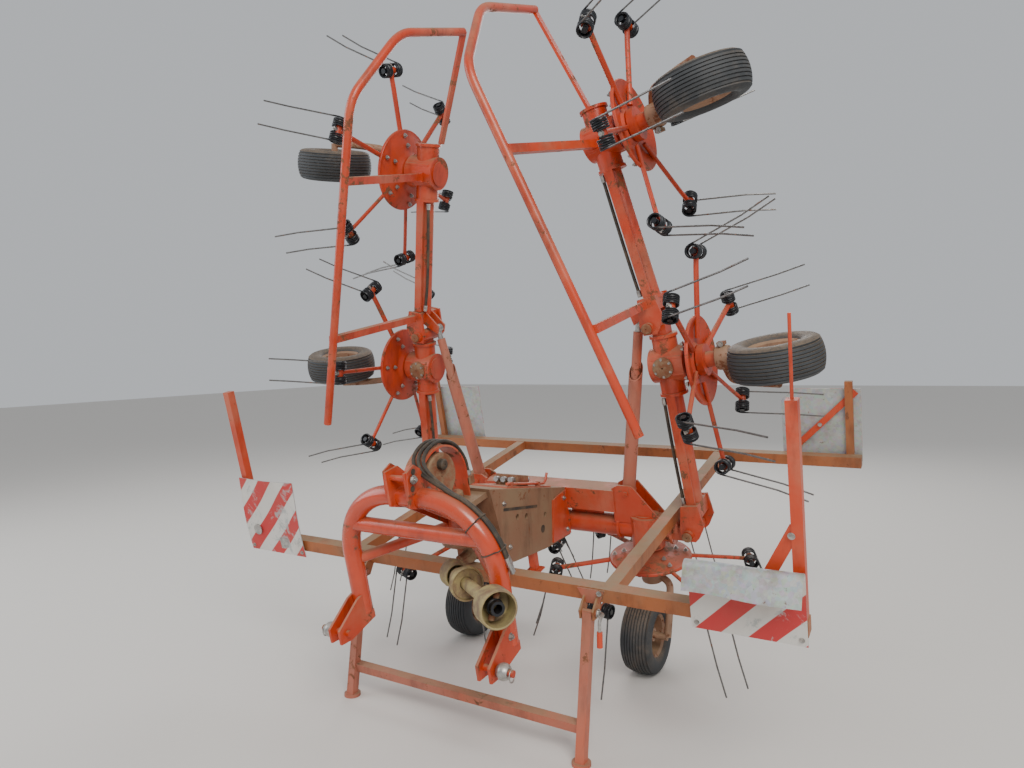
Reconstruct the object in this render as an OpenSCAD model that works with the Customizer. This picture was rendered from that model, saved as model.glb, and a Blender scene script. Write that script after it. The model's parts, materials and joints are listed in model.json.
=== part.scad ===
// Mounted six-rotor hay tedder, parked with both arms folded up.
// X runs along the spread machine (right arm on +X), -Y is the front, Z is up.
// Everything is laid out level and then parked nose-down on its wheels and stand.

/* [Machine] */
// Distance between neighbouring rotor axes
rotor_spacing = 1100; // [1060:5:1180]
// Height of the beam axis, measured with the machine level
beam_z = 750; // [720:5:790]
// Nose-down lean of the parked machine, in degrees
park_lean = 12; // [10:0.5:13]
// From a centre rotor out to the base joint of an arm
base_reach = 250; // [230:5:280]
// From an inner rotor out to the middle joint of an arm
mid_reach = 200; // [190:5:230]
// Height of the arm joints above the beam axis
hinge_rise = 30; // [20:1:35]
// Lean of the folded inner arm past upright, in degrees
inner_lean = 6; // [2:0.5:9]
// Lean of the folded outer arm past upright, in degrees
outer_lean = 13; // [10:0.5:15]

/* [Beam and arms] */
// Outer radius of the main transverse tube
beam_r = 57; // [50:1:60]
// Outer radius of an arm tube
arm_r = 40; // [34:1:44]
// Radius of a joint sleeve
sleeve_r = 36; // [32:1:40]
// Length of a joint sleeve across the machine
sleeve_len = 150; // [130:2:160]
// Radius of the joint pins
pin_r = 16; // [12:0.5:20]
// Thickness of the joint cheek plates
cheek_t = 14; // [10:1:18]
// Running gap beside a joint sleeve
side_gap = 5; // [5:0.5:8]

/* [Gear housings] */
// Half length of a gear housing along the arm
case_half = 150; // [140:1:160]
// Radius of its barrel
barrel_r = 60; // [54:1:66]
// Radius of its upright body
body_r = 86; // [78:1:92]
// Radius of the fixed column that carries a wheel leg
column_r = 38; // [32:1:42]
// How far the column reaches below the beam axis
column_drop = 300; // [280:2:310]

/* [Rotors] */
// Radius of the dished rotor disc
disc_r = 215; // [200:1:230]
// Depth of the disc rim below the beam axis
disc_drop = 165; // [158:1:172]
// Number of tine arms on a rotor
tine_arms = 6; // [5:1:7]
// Radius of a tine arm tube
spoke_r = 12; // [10:0.5:14]
// Radius at which the tine coils sit
coil_ring_r = 505; // [490:1:515]
// Depth of the tine coils below the beam axis
coil_drop = 205; // [195:1:215]
// Length of a tine below its coil
tine_len = 420; // [390:1:430]
// Splay of a tine from upright, in degrees
tine_splay = 18; // [14:0.5:22]
// Thickness of the tine wire
wire_d = 9; // [8:0.1:10]
// Outer radius of a tine coil
coil_r = 36; // [32:0.5:40]

/* [Wheels] */
// Radius of a tyre
wheel_r = 200; // [190:1:205]
// Width of a tyre
tyre_w = 160; // [140:1:166]
// Wheel axle below the beam axis
wheel_drop = 530; // [520:1:545]
// Wheel axle ahead of the rotor axis
wheel_lead = 150; // [130:1:170]

/* [Safety frame] */
// Half width over the rails
frame_half = 1480; // [1420:5:1500]
// Size of the square rail tube
rail_w = 60; // [50:1:64]
// Front rail ahead of the beam axis
front_rail_y = 833; // [828:1:860]
// Rear rail behind the beam axis
rear_rail_y = 890; // [850:5:920]
// Height of the rails
rail_z = 850; // [848:1:862]
// Distance of a long beam from the middle
long_beam_x = 700; // [690:1:702]
// Size of a square warning board
board_w = 423; // [400:1:423]
// Thickness of a warning board
board_t = 4; // [3:0.5:5]

/* [Headstock] */
// Swivel axis ahead of the beam axis
swivel_y = 850; // [840:1:860]
// Plane of the arch ahead of the beam axis
arch_y = 1160; // [1150:1:1180]
// Radius of the arch tube
arch_r = 42; // [38:1:46]
// Half distance between the arch legs
arch_half = 390; // [385:1:400]
// Bend radius of the arch
arch_bend = 300; // [280:5:310]
// Top of the arch
arch_top = 1350; // [1330:5:1370]
// Half span of the lower link pins
link_half = 412; // [405:1:420]
// Lower link pins ahead of the beam axis
link_y = 1312; // [1300:1:1320]
// Height of the lower link pins
link_z = 737; // [730:1:745]
// Radius of the lower link pins
link_pin_r = 14; // [11:0.5:18]
// Radius of the top link pin
top_pin_r = 12.5; // [9.5:0.5:16]
// Radius of the splined bore in the yoke of the drive shaft
spline_r = 17.5; // [17:0.5:22]

/* [Hidden] */
$fn = 48;
// Weld overlap between pieces of one sub-part
weld = 3;
// Clearance between a pin or column and its bore
fit = 0.3;
beam_bottom = rail_z - rail_w / 2 + 2;
hinge_x = rotor_spacing / 2 + base_reach;
hinge_z = beam_z + hinge_rise;
inner_len = rotor_spacing - base_reach + mid_reach;
inner_rotor_x = rotor_spacing - base_reach;
outer_rotor_x = rotor_spacing - mid_reach;
ground_lift = wheel_r + wheel_lead * sin(park_lean) - (beam_z - wheel_drop) * cos(park_lean);
// Puts the middle of the machine's length over the origin
origin_shift = 408.1;
// Tine arm angle at rest for centre, inner and outer rotors: right side, then left side
phases = [[38, -8, 38], [8, 22, 8]];

// Parks the level machine
module parked() translate([0, origin_shift, ground_lift]) rotate([park_lean, 0, 0]) children();

// The left side is the mirror of the right side
module on_side(s) {
    if (s > 0) children();
    else mirror([1, 0, 0]) children();
}

// Frame of an inner arm: X along it, Z up when it is spread
module inner_frame(s)
    parked() on_side(s) translate([hinge_x, 0, hinge_z]) rotate([0, -90 - inner_lean, 0]) children();

module outer_frame(s)
    inner_frame(s) translate([inner_len, 0, 0]) rotate([0, inner_lean - outer_lean, 0]) children();

// Frame of a rotor at its gear centre; row 0 is centre, 1 inner, 2 outer
module rotor_frame(s, row) {
    if (row == 0) parked() on_side(s) translate([rotor_spacing / 2, 0, beam_z]) children();
    if (row == 1) inner_frame(s) translate([inner_rotor_x, 0, -hinge_rise]) children();
    if (row == 2) outer_frame(s) translate([outer_rotor_x, 0, -hinge_rise]) children();
}

// Round bar between two points
module rod(a, b, r) {
    d = b - a;
    h = norm(d);
    translate(a) rotate([0, acos(d[2] / h), atan2(d[1], d[0])]) cylinder(r = r, h = h);
}

// Round bar through several points, with slightly proud weld balls at the bends
module bent_rod(points, r) {
    for (i = [0 : len(points) - 2]) rod(points[i], points[i + 1], r);
    for (i = [1 : len(points) - 2]) translate(points[i]) sphere(r = r * 1.03);
}

// Square bar between two points that lie in one plane of constant X, Y or Z
module bar(a, b, w, t) {
    d = b - a;
    h = norm(d);
    translate(a) rotate([0, acos(d[2] / h), atan2(d[1], d[0])])
        translate([-w / 2, -t / 2, 0]) cube([w, t, h]);
}

// Cylinder along X or Y from a start point
module x_cyl(x0, x1, r, y = 0, z = 0) translate([x0, y, z]) rotate([0, 90, 0]) cylinder(r = r, h = x1 - x0);
module y_cyl(y0, y1, r, x = 0, z = 0) translate([x, y1, z]) rotate([90, 0, 0]) cylinder(r = r, h = y1 - y0);

// Plate drawn in the XZ plane, from y0 to y1
module xz_plate(y0, y1) translate([0, y1, 0]) rotate([90, 0, 0]) linear_extrude(y1 - y0) children();
// Plate drawn in the YZ plane, from x0 to x1
module yz_plate(x0, x1) translate([x0, 0, 0]) rotate([90, 0, 90]) linear_extrude(x1 - x0) children();

// Gear housing with the column that carries rotor and wheel leg
module gear_case() {
    x_cyl(-case_half + 12, case_half - 12, barrel_r);
    for (s = [-1, 1]) x_cyl(s > 0 ? case_half - 14 : -case_half, s > 0 ? case_half : 14 - case_half, barrel_r + 8);
    translate([0, 0, -96]) cylinder(r = body_r, h = 172);
    translate([0, 0, 70]) cylinder(r = body_r - 22, h = 13);
    translate([0, 0, -column_drop]) cylinder(r = column_r, h = column_drop - 60);
    for (a = [0 : 60 : 300]) rotate([0, 0, a]) translate([body_r - 10, 0, -92]) cylinder(r = 13, h = 150, $fn = 24);
}

// Hinge sleeve with its web back to the housing flange
module joint_sleeve(x, z, back) difference() {
    union() {
        y_cyl(-sleeve_len / 2, sleeve_len / 2, sleeve_r, x, z);
        translate([x - back - weld, -40, z - 62]) cube([back + weld, 80, 70]);
    }
    y_cyl(-sleeve_len, sleeve_len, pin_r + fit, x, z);
}

// Cheek plates, pin and tube socket at the foot of an arm
module arm_foot(plate_len) {
    y0 = sleeve_len / 2 + side_gap;
    for (s = [-1, 1]) xz_plate(s > 0 ? y0 : -y0 - cheek_t, s > 0 ? y0 + cheek_t : -y0)
        polygon([[-38, -30], [-30, 34], [20, 40], [plate_len, 14], [plate_len, -70], [40, -84], [-20, -50]]);
    y_cyl(-y0 - cheek_t - 26, y0 + cheek_t + 26, pin_r);
    for (s = [-1, 1]) y_cyl(s > 0 ? y0 + cheek_t : -y0 - cheek_t - 22, s > 0 ? y0 + cheek_t + 22 : -y0 - cheek_t, 27);
    translate([70, -y0 - weld, -64]) cube([plate_len - 74, 2 * y0 + 2 * weld, 66]);
}

module main_beam() color("orangered") {
    parked() {
        case_x = rotor_spacing / 2;
        x_cyl(-case_x + case_half, case_x - case_half, beam_r, 0, beam_z);
        // Raised cross box that carries the folding cylinders
        translate([-400, -60, beam_z + 95]) cube([800, 120, 120]);
        for (s = [-1, 1]) on_side(s) {
            translate([case_x, 0, beam_z]) gear_case();
            joint_sleeve(hinge_x, hinge_z, base_reach - case_half);
            cylinder_bracket();
            // Saddle under the long beam of the safety frame
            translate([long_beam_x - rail_w / 2, -50, hinge_z - 20]) cube([rail_w, 100, beam_bottom - hinge_z + 20]);
        }
        for (s = [-1, 1]) on_side(s) xz_plate(-8, 8)
            polygon([[120, beam_z + 50], [120, beam_z + 100], [330, beam_z + 100], [300, beam_z + 50]]);
    }
}

// Foot of the folding cylinder on the machine, and its eye on the outer arm
cyl_foot = [465, beam_z + 200];
cyl_eye = [50, 70];
cyl_eye_w = 40;
strut_r = 34;
mid_joint = [hinge_x - inner_len * sin(inner_lean), hinge_z + inner_len * cos(inner_lean)];
cyl_tip = mid_joint + [-cyl_eye[0] * sin(outer_lean) - cyl_eye[1] * cos(outer_lean),
                       cyl_eye[0] * cos(outer_lean) - cyl_eye[1] * sin(outer_lean)];
cyl_dir = cyl_tip - cyl_foot;
cyl_len = norm(cyl_dir);
cyl_angle = atan2(cyl_dir[1], cyl_dir[0]);

// Two upright plates either side of the cylinder foot, with its pin
module cylinder_bracket() {
    y0 = strut_r + side_gap;
    for (s = [-1, 1]) xz_plate(s > 0 ? y0 : -y0 - 12, s > 0 ? y0 + 12 : -y0)
        polygon([[390, beam_z + 40], [390, beam_z + 225], [425, beam_z + 245], [500, beam_z + 245],
                 [660, beam_z + 50], [640, beam_z + 40]]);
    y_cyl(-y0 - 20, y0 + 20, 14, cyl_foot[0], cyl_foot[1]);
}

module cylinder_frame(s)
    parked() on_side(s) translate([cyl_foot[0], 0, cyl_foot[1]]) rotate([0, -cyl_angle, 0]) children();

// The outer tube ends in a slanted mouth that is low in front
mouth_x = cyl_len * 0.76;
mouth_slant = 90;
module fold_cylinder(s) color("salmon") cylinder_frame(s) difference() {
    union() {
        y_cyl(-strut_r, strut_r, 30);
        difference() {
            x_cyl(20, mouth_x, strut_r);
            x_cyl(mouth_x - 150, mouth_x + 1, strut_r - 4);
            translate([mouth_x - mouth_slant, -strut_r, -strut_r - 5]) rotate([0, 0, atan2(2 * strut_r, mouth_slant)])
                translate([-60, -120, 0]) cube([240, 120, 2 * strut_r + 10]);
        }
        x_cyl(60, cyl_len * 0.93, 24);
    }
    y_cyl(-strut_r - 5, strut_r + 5, 14 + fit);
    x_cyl(250, cyl_len, 15 + fit);
}

module cylinder_rod(s) color("silver") cylinder_frame(s) difference() {
    union() {
        x_cyl(270, cyl_len - 20, 15);
        y_cyl(-cyl_eye_w / 2, cyl_eye_w / 2, 24, cyl_len);
    }
    y_cyl(-40, 40, 11, cyl_len);
}

module arm_inner(s) color("orangered") {
    inner_frame(s) {
        arm_foot(150);
        x_cyl(120, inner_rotor_x - case_half, arm_r, 0, -hinge_rise);
        // Flat strip that covers the pipe in front of the tube
        translate([130, -66, -hinge_rise - 22]) cube([inner_rotor_x - case_half - 130, 12, 44]);
        for (x = [160, 420, inner_rotor_x - case_half - 30]) translate([x, -56, -hinge_rise - 12]) cube([24, 24, 24]);
        translate([inner_rotor_x, 0, -hinge_rise]) gear_case();
        joint_sleeve(inner_len, 0, mid_reach - case_half);
    }
}

module arm_outer(s) color("orangered") {
    outer_frame(s) {
        arm_foot(140);
        x_cyl(120, outer_rotor_x - case_half, arm_r, 0, -hinge_rise);
        translate([140, -66, -hinge_rise - 22]) cube([outer_rotor_x - case_half - 140, 12, 44]);
        for (x = [170, 430, outer_rotor_x - case_half - 30]) translate([x, -56, -hinge_rise - 12]) cube([24, 24, 24]);
        translate([outer_rotor_x, 0, -hinge_rise]) gear_case();
        // Ears beside the eye of the folding cylinder
        for (s = [-1, 1]) xz_plate(s > 0 ? cyl_eye_w / 2 + side_gap : -cyl_eye_w / 2 - side_gap - 10,
                                   s > 0 ? cyl_eye_w / 2 + side_gap + 10 : -cyl_eye_w / 2 - side_gap)
            polygon([[26, cyl_eye[1] + 22], [70, cyl_eye[1] + 26], [138, 2], [138, -30], [74, -30]]);
    }
}

// Bow of tube that keeps people away from the tines of a raised arm
guard_r = 20;
module guard(s) color("tomato") outer_frame(s) {
    // Along the arm, ahead of it, and towards the middle of the machine
    line = [[-350, -730, -90], [1230, -760, 110], [1530, -450, 130], [1600, 60, 125]];
    bent_rod(line, guard_r);
    translate([1600 - 8, 20, 105]) bar([0, 40, 20], [outer_rotor_x + case_half - 1600 + 10, 40, -95], 12, 40);
    bar([110, -108, -20], [110, -735, -50], 36, 30);
    // Pad on the gear housing, and the upper support
    translate([outer_rotor_x - 45, -body_r - fit - 12, -45]) cube([50, 12, 50]);
    bar([outer_rotor_x - 20, -body_r - fit - 6, -20], [outer_rotor_x - 20, -752, 60], 36, 30);
}

// Spinning disc with its arms, coils and tines
module rotor(s, row) color("firebrick") rotor_frame(s, row) {
    rotate([0, 0, -phases[s > 0 ? 0 : 1][row]]) {
        rotate_extrude() polygon([[column_r + fit, -112], [78, -112], [96, -128], [150, -136], [disc_r - 16, -disc_drop + 8],
            [disc_r - 4, -disc_drop + 10], [disc_r, -disc_drop + 2], [disc_r - 4, -disc_drop - 8],
            [disc_r - 18, -disc_drop - 6], [148, -146], [92, -138], [74, -160], [74, -190], [column_r + fit, -190]]);
        for (i = [0 : tine_arms - 1]) rotate([0, 0, i * 360 / tine_arms]) tine_arm();
    }
}

module tine_arm() {
    reach = coil_ring_r - coil_r;
    rod([120, 0, -disc_drop - 2], [coil_ring_r, 0, -coil_drop], spoke_r);
    // Twin coil round the end of the arm, its axis across the arm
    for (s = [-1, 1]) {
        y_cyl(s > 0 ? 16 : -62, s > 0 ? 62 : -16, coil_r, coil_ring_r, -coil_drop);
        translate([coil_ring_r + coil_r - wire_d / 2, s * 50, -coil_drop + 8]) rotate([0, 180 - tine_splay, 0])
            cylinder(r = wire_d / 2, h = tine_len, $fn = 16);
    }
    y_cyl(-26, 26, 20, coil_ring_r, -coil_drop);
}

module wheel(s, row) color("dimgray") rotor_frame(s, row) translate([0, -wheel_lead, -wheel_drop]) rotate([0, 90, 0])
    rotate_extrude() polygon([[18 + fit, -40], [60, -40], [60, -30], [100, -30], [104, -tyre_w / 2 + 14],
        [125, -tyre_w / 2], [160, -tyre_w / 2 + 2], [wheel_r - 8, -tyre_w / 2 + 18], [wheel_r, -tyre_w / 2 + 36],
        [wheel_r, tyre_w / 2 - 36], [wheel_r - 8, tyre_w / 2 - 18], [160, tyre_w / 2 - 2], [125, tyre_w / 2],
        [104, tyre_w / 2 - 14], [100, 30], [60, 30], [60, 40], [18 + fit, 40]]);

// The leg runs down outboard of its wheel, or inboard on the inner rotors
leg_r = 19;
module wheel_leg(s, row) color("peru") rotor_frame(s, row) mirror([row == 1 ? 1 : 0, 0, 0]) {
    out = tyre_w / 2 + 14 + leg_r;
    difference() {
        translate([0, 0, -column_drop + 2]) cylinder(r = column_r + 16, h = 60);
        translate([0, 0, -column_drop - 1]) cylinder(r = column_r + fit, h = 80);
    }
    bent_rod([[column_r + 8, 0, -column_drop + 30], [out - 10, -20, -column_drop + 6], [out, -wheel_lead * 0.6, -wheel_drop + 110],
              [out, -wheel_lead, -wheel_drop]], leg_r);
    x_cyl(-46, out, 18, -wheel_lead, -wheel_drop);
}

gearbox_z = [895, 1010];
input_z = 940;
lug_z = [1015, 1190];
lug_t = 26;
lug_r = 100;
drawbar_front = 722;
module drawbar() color("coral") parked() {
    // Channel with an open underside
    difference() {
        yz_plate(-120, 120) polygon([[-760, 1232], [-60, beam_z + 215], [-60, beam_z - 60], [-330, beam_z - 15],
            [-640, 813], [-drawbar_front, 850], [-drawbar_front, lug_z[0]]]);
        yz_plate(-108, 108) polygon([[-740, 1211], [-50, beam_z + 201], [-50, 600], [-690, 600], [-drawbar_front + 12, 850],
            [-drawbar_front + 12, lug_z[0]]]);
        // Slot and holes in the side plates
        for (y = [-560, -480, -300]) x_cyl(-200, 200, 14, y, 1010 - (y + 560) * 0.38);
        y_cyl(-drawbar_front - 20, -drawbar_front + 40, 46, 0, input_z);
    }
    // Lugs that hold the swivel pin
    for (z = lug_z) difference() {
        union() {
            translate([-lug_r, -swivel_y, z]) cube([2 * lug_r, swivel_y - 735, lug_t]);
            translate([0, -swivel_y, z]) cylinder(r = lug_r, h = lug_t);
        }
        translate([0, -swivel_y, z - 10]) cylinder(r = 24, h = 50);
    }
    translate([0, -swivel_y, lug_z[0] - 10]) cylinder(r = 25, h = lug_z[1] - lug_z[0] + lug_t + 30);
}

module input_gearbox() color("saddlebrown") parked() {
    translate([-82, -806, gearbox_z[0]]) cube([164, 806 - drawbar_front, gearbox_z[1] - gearbox_z[0]]);
    y_cyl(-840, -805, 50, 0, input_z);
    y_cyl(-905, -839, 17.5, 0, input_z);
    rod([0, -drawbar_front - 10, input_z], [0, -beam_r - 0.3, beam_z + 20], 34);
}

// Height of the cross tube, and how far it reaches into the bends of the arch
cross_z = 1196;
cross_r = 34;
cross_half = arch_half - arch_bend + sqrt(pow(arch_bend, 2) - pow(cross_z - arch_top + arch_bend, 2)) - arch_r / 2;
leg_end_z = link_z + 20;
module headstock_arch() color("orangered") parked() {
    flat = arch_half - arch_bend;
    for (s = [-1, 1]) on_side(s) {
        translate([flat, -arch_y, arch_top - arch_bend]) rotate([90, 0, 0]) rotate_extrude(angle = 90)
            translate([arch_bend, 0]) circle(r = arch_r);
        translate([arch_half, -arch_y, leg_end_z]) cylinder(r = arch_r, h = arch_top - arch_bend - leg_end_z + 0.5);
        x_cyl(-0.2, flat + 0.2, arch_r, -arch_y, arch_top);
    }
    x_cyl(-cross_half, cross_half, cross_r, -arch_y, cross_z);
}

// Sleeve that turns on the swivel pin, with cheek plates up to the arch and struts down to its legs
cheek_x = [44, 56];
top_link = [-arch_y - 40, arch_top + 96];
module swivel_head() color("orangered") parked() difference() {
    union() {
        for (s = [-1, 1]) on_side(s) {
            rod([arch_half, -arch_y, 1010], [36, -swivel_y - 16, 1090], 24);
            yz_plate(cheek_x[0], cheek_x[1]) polygon([[-arch_y - 70, arch_top - 20], [-arch_y - 70, arch_top + 130],
                [-arch_y + 10, arch_top + 130], [-swivel_y - lug_r - 10, lug_z[1] + 90],
                [-swivel_y - lug_r - 10, lug_z[1] - side_gap], [-swivel_y, lug_z[1] - side_gap],
                [-swivel_y, lug_z[0] + 60], [-arch_y + 20, arch_top - 60]]);
        }
        translate([0, -swivel_y, lug_z[0] + lug_t + fit]) cylinder(r = 56, h = lug_z[1] - lug_z[0] - lug_t - 2 * fit);
        x_cyl(-70, 70, top_pin_r, top_link[0], top_link[1]);
    }
    translate([0, -swivel_y, lug_z[0]]) cylinder(r = 25 + fit, h = lug_z[1] - lug_z[0] + 40);
    x_cyl(-cheek_x[1] - 5, cheek_x[1] + 5, arch_r + fit, -arch_y, arch_top);
    for (s = [-1, 1]) translate([s * arch_half, -arch_y, 900]) cylinder(r = arch_r + fit, h = arch_top - arch_bend - 900);
}

// Two plates and a pin at the foot of an arch leg
module link_bracket(s) color("orangered") parked() on_side(s) {
    difference() {
        for (x = [arch_half - 34, arch_half + 22]) yz_plate(x, x + 12)
            polygon([[-arch_y + 30, link_z - 20], [-arch_y + 30, leg_end_z - fit], [-arch_y - 10, leg_end_z - fit],
                [-arch_y - 10, link_z + 122], [-arch_y - 60, link_z + 110], [-link_y - 44, link_z + 30],
                [-link_y - 44, link_z - 34], [-link_y + 20, link_z - 44]]);
        translate([arch_half, -arch_y, leg_end_z - fit]) cylinder(r = arch_r + fit, h = 200);
    }
    x_cyl(arch_half - 50, arch_half + 110, link_pin_r, -link_y, link_z);
}

// The loose drive shaft leans on the right leg of the arch
pto_r = 26;
pto_start = [30, -1000, 930];
pto_side = [arch_half, -arch_y] - [pto_start[0], pto_start[1]];
pto_yaw = atan2(pto_side[1], pto_side[0]) - asin((arch_r + pto_r + fit) / norm(pto_side));
pto_end = pto_start + [590 * cos(pto_yaw), 590 * sin(pto_yaw), 85];
module pto_shaft() color("gold") parked() {
    d = (pto_end - pto_start) / norm(pto_end - pto_start);
    rod(pto_start, pto_end - 62 * d, pto_r);
    rod(pto_start - 10 * d, pto_start + 110 * d, 62);
    difference() {
        rod(pto_end - 110 * d, pto_end, 76);
        rod(pto_end - 60 * d, pto_end + 1 * d, 66);
    }
    // Yoke that slides on the splines of the tractor's shaft
    difference() {
        rod(pto_end - 70 * d, pto_end - 12 * d, 30);
        rod(pto_end - 62 * d, pto_end, spline_r);
    }
    rod(pto_start, [0, -945, 938], 20);
}

module front_rail() color("chocolate") parked() {
    translate([-frame_half, -front_rail_y - rail_w / 2, rail_z - rail_w / 2]) cube([2 * frame_half, rail_w, rail_w]);
    for (s = [-1, 1]) on_side(s) {
        translate([frame_half - 44, -front_rail_y - 20, rail_z + rail_w / 2 - weld]) cube([40, 40, 820]);
        // Cheeks of the parking stand
        for (x = [stand_half - 34, stand_half + 20 + side_gap]) difference() {
            yz_plate(x, x + 9) polygon([[-front_rail_y, rail_z - rail_w / 2 + 4], [-front_rail_y - rail_w / 2 - 2, rail_z],
                [stand_pivot[0] - 24, stand_pivot[1] + 16], [stand_pivot[0] - 24, stand_pivot[1] - 22],
                [stand_pivot[0] + 20, stand_pivot[1] - 26]]);
            x_cyl(x - 5, x + 20, 12 + fit, stand_pivot[0], stand_pivot[1]);
        }
    }
}

module rear_rail() color("chocolate") parked() {
    translate([-frame_half, rear_rail_y - rail_w / 2, rail_z - rail_w / 2]) cube([2 * frame_half, rail_w, rail_w]);
    for (s = [-1, 1]) on_side(s)
        translate([frame_half - 80, rear_rail_y + rail_w / 2 - weld, rail_z - 30]) cube([40, 30, 480]);
}

module long_beam(s) color("chocolate") parked() on_side(s)
    translate([long_beam_x - rail_w / 2, -front_rail_y + rail_w / 2, beam_bottom])
        cube([rail_w, front_rail_y + rear_rail_y - rail_w, rail_w - 4]);

module board(s, front) color("white") parked() on_side(s) {
    y = front ? -front_rail_y - rail_w / 2 - 12 - board_t : rear_rail_y + rail_w / 2 + 27;
    translate([frame_half - board_w, y, front ? rail_z - 60 : rail_z - 20]) cube([board_w, board_t, board_w]);
    if (front) translate([frame_half - 300, y + board_t - 0.5, rail_z - 30]) cube([60, 12.5, 60]);
}

stand_half = 630;
stand_pivot = [-front_rail_y - rail_w / 2 - 40, rail_z - 60];
stand_foot_y = -1120;
stand_foot = [stand_foot_y, -(ground_lift + stand_foot_y * sin(park_lean)) / cos(park_lean)];
module parking_stand() color("indianred") {
    parked() for (s = [-1, 1]) on_side(s) {
        bar([stand_half, stand_pivot[0], stand_pivot[1]], [stand_half, stand_foot[0], stand_foot[1] + 8], 40, 40);
        x_cyl(stand_half - 42, stand_half + 42, 12, stand_pivot[0], stand_pivot[1]);
    }
    parked() translate([-stand_half, stand_foot[0] + 40, stand_foot[1] + 110]) cube([2 * stand_half, 40, 40]);
    for (s = [-1, 1]) parked() on_side(s) translate([stand_half, stand_foot[0], stand_foot[1]])
        rotate([-park_lean, 0, 0]) cylinder(r = 40, h = 14);
}

main_beam();
drawbar();
input_gearbox();
headstock_arch();
swivel_head();
link_bracket(1);  // link_bracket_r
link_bracket(-1);  // link_bracket_l
pto_shaft();
front_rail();
rear_rail();
long_beam(1);  // long_beam_r
long_beam(-1);  // long_beam_l
board(1, true);  // board_front_r
board(-1, true);  // board_front_l
board(1, false);  // board_rear_r
board(-1, false);  // board_rear_l
parking_stand();
arm_inner(1);  // arm_inner_r
arm_inner(-1);  // arm_inner_l
arm_outer(1);  // arm_outer_r
arm_outer(-1);  // arm_outer_l
guard(1);  // guard_r
guard(-1);  // guard_l
fold_cylinder(1);  // cylinder_r
fold_cylinder(-1);  // cylinder_l
cylinder_rod(1);  // rod_r
cylinder_rod(-1);  // rod_l
rotor(1, 0);  // rotor_center_r
rotor(-1, 0);  // rotor_center_l
rotor(1, 1);  // rotor_inner_r
rotor(-1, 1);  // rotor_inner_l
rotor(1, 2);  // rotor_outer_r
rotor(-1, 2);  // rotor_outer_l
wheel(1, 0);  // wheel_center_r
wheel(-1, 0);  // wheel_center_l
wheel(1, 1);  // wheel_inner_r
wheel(-1, 1);  // wheel_inner_l
wheel(1, 2);  // wheel_outer_r
wheel(-1, 2);  // wheel_outer_l
wheel_leg(1, 0);  // leg_center_r
wheel_leg(-1, 0);  // leg_center_l
wheel_leg(1, 1);  // leg_inner_r
wheel_leg(-1, 1);  // leg_inner_l
wheel_leg(1, 2);  // leg_outer_r
wheel_leg(-1, 2);  // leg_outer_l
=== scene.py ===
# Dresses the folded hay tedder: finishes, rotors with wound coils, ribbed tyres and small fittings.

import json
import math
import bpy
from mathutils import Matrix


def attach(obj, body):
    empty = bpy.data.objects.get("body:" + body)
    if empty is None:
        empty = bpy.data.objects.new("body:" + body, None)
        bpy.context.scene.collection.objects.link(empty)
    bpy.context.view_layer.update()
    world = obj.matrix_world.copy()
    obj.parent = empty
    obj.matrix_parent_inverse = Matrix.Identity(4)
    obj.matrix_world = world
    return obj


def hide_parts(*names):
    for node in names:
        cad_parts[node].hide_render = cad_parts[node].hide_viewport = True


bl_info = {
    "name": "Folded Hay Tedder",
    "version": (1, 0, 0),
    "blender": (4, 5, 0),
    "location": "View3D > Sidebar > Tedder",
    "description": "Dresses the packed hay tedder with its finishes and fine parts",
    "category": "Object",
}

import bmesh
import bpy
from bpy.props import FloatProperty, FloatVectorProperty, IntProperty, PointerProperty
from bpy.types import Operator, Panel, PropertyGroup
from mathutils import Matrix, Vector

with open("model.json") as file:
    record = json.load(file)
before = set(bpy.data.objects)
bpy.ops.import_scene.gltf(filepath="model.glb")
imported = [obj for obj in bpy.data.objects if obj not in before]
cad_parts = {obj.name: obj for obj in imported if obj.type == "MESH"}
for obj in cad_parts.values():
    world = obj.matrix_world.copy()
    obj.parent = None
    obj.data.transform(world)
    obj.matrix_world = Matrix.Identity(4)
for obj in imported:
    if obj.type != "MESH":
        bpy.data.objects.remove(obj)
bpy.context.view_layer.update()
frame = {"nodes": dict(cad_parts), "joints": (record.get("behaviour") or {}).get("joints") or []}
JOINTS = {joint["name"]: joint for joint in frame["joints"]}
X, Y, Z = Vector((1, 0, 0)), Vector((0, 1, 0)), Vector((0, 0, 1))
SIDES = {"r": 1, "l": -1}
ROWS = ("center", "inner", "outer")
# How far each rotor is turned at rest, in degrees, as its drive leaves it
REST_TURN = {"r": (38, -8, 38), "l": (8, 22, 8)}
# The joint of a rotor is stated this far under its gear centre
GEAR_TO_JOINT = 0.14
# Sizes of the machine standing level, in metres: X to its right, Y to the rear, Z up
LEAN = math.radians(12)
HINGE = Vector((0.8, 0, 0.78))
CENTER_GEAR = Vector((0.55, 0, 0.75))
INNER_LEAN, OUTER_LEAN = math.radians(6), math.radians(13)
INNER_LENGTH = 1.05
HINGE_PIN_END = 0.1195
GEAR_ALONG = {"inner": 0.85, "outer": 0.9}
GEAR_BELOW = 0.03
CASE_HALF, BODY_R = 0.15, 0.086
COLUMN_R, COLUMN_DROP = 0.038, 0.3
WHEEL_LEAD, WHEEL_DROP = 0.15, 0.53
LEG_R = 0.019
FRAME_HALF = 1.48
BOARD, BOARD_T = 0.423, 0.004
FRONT_BOARD_Y, FRONT_BOARD_LOW = -0.877, 0.79
REAR_BOARD_Y, REAR_BOARD_LOW = 0.951 - BOARD_T, 0.83
FOLD_HEIGHT, FOLD_R, FOLD_TURN = 0.272, 0.022, math.radians(152)
ARCH_Y, ARCH_HALF, ARCH_BEND, ARCH_TOP, ARCH_R = -1.16, 0.39, 0.3, 1.35, 0.042
CHEEK_OUT, STRAP_HALF, LUG_TOP = 0.056, 0.0445, 1.2025
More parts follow.
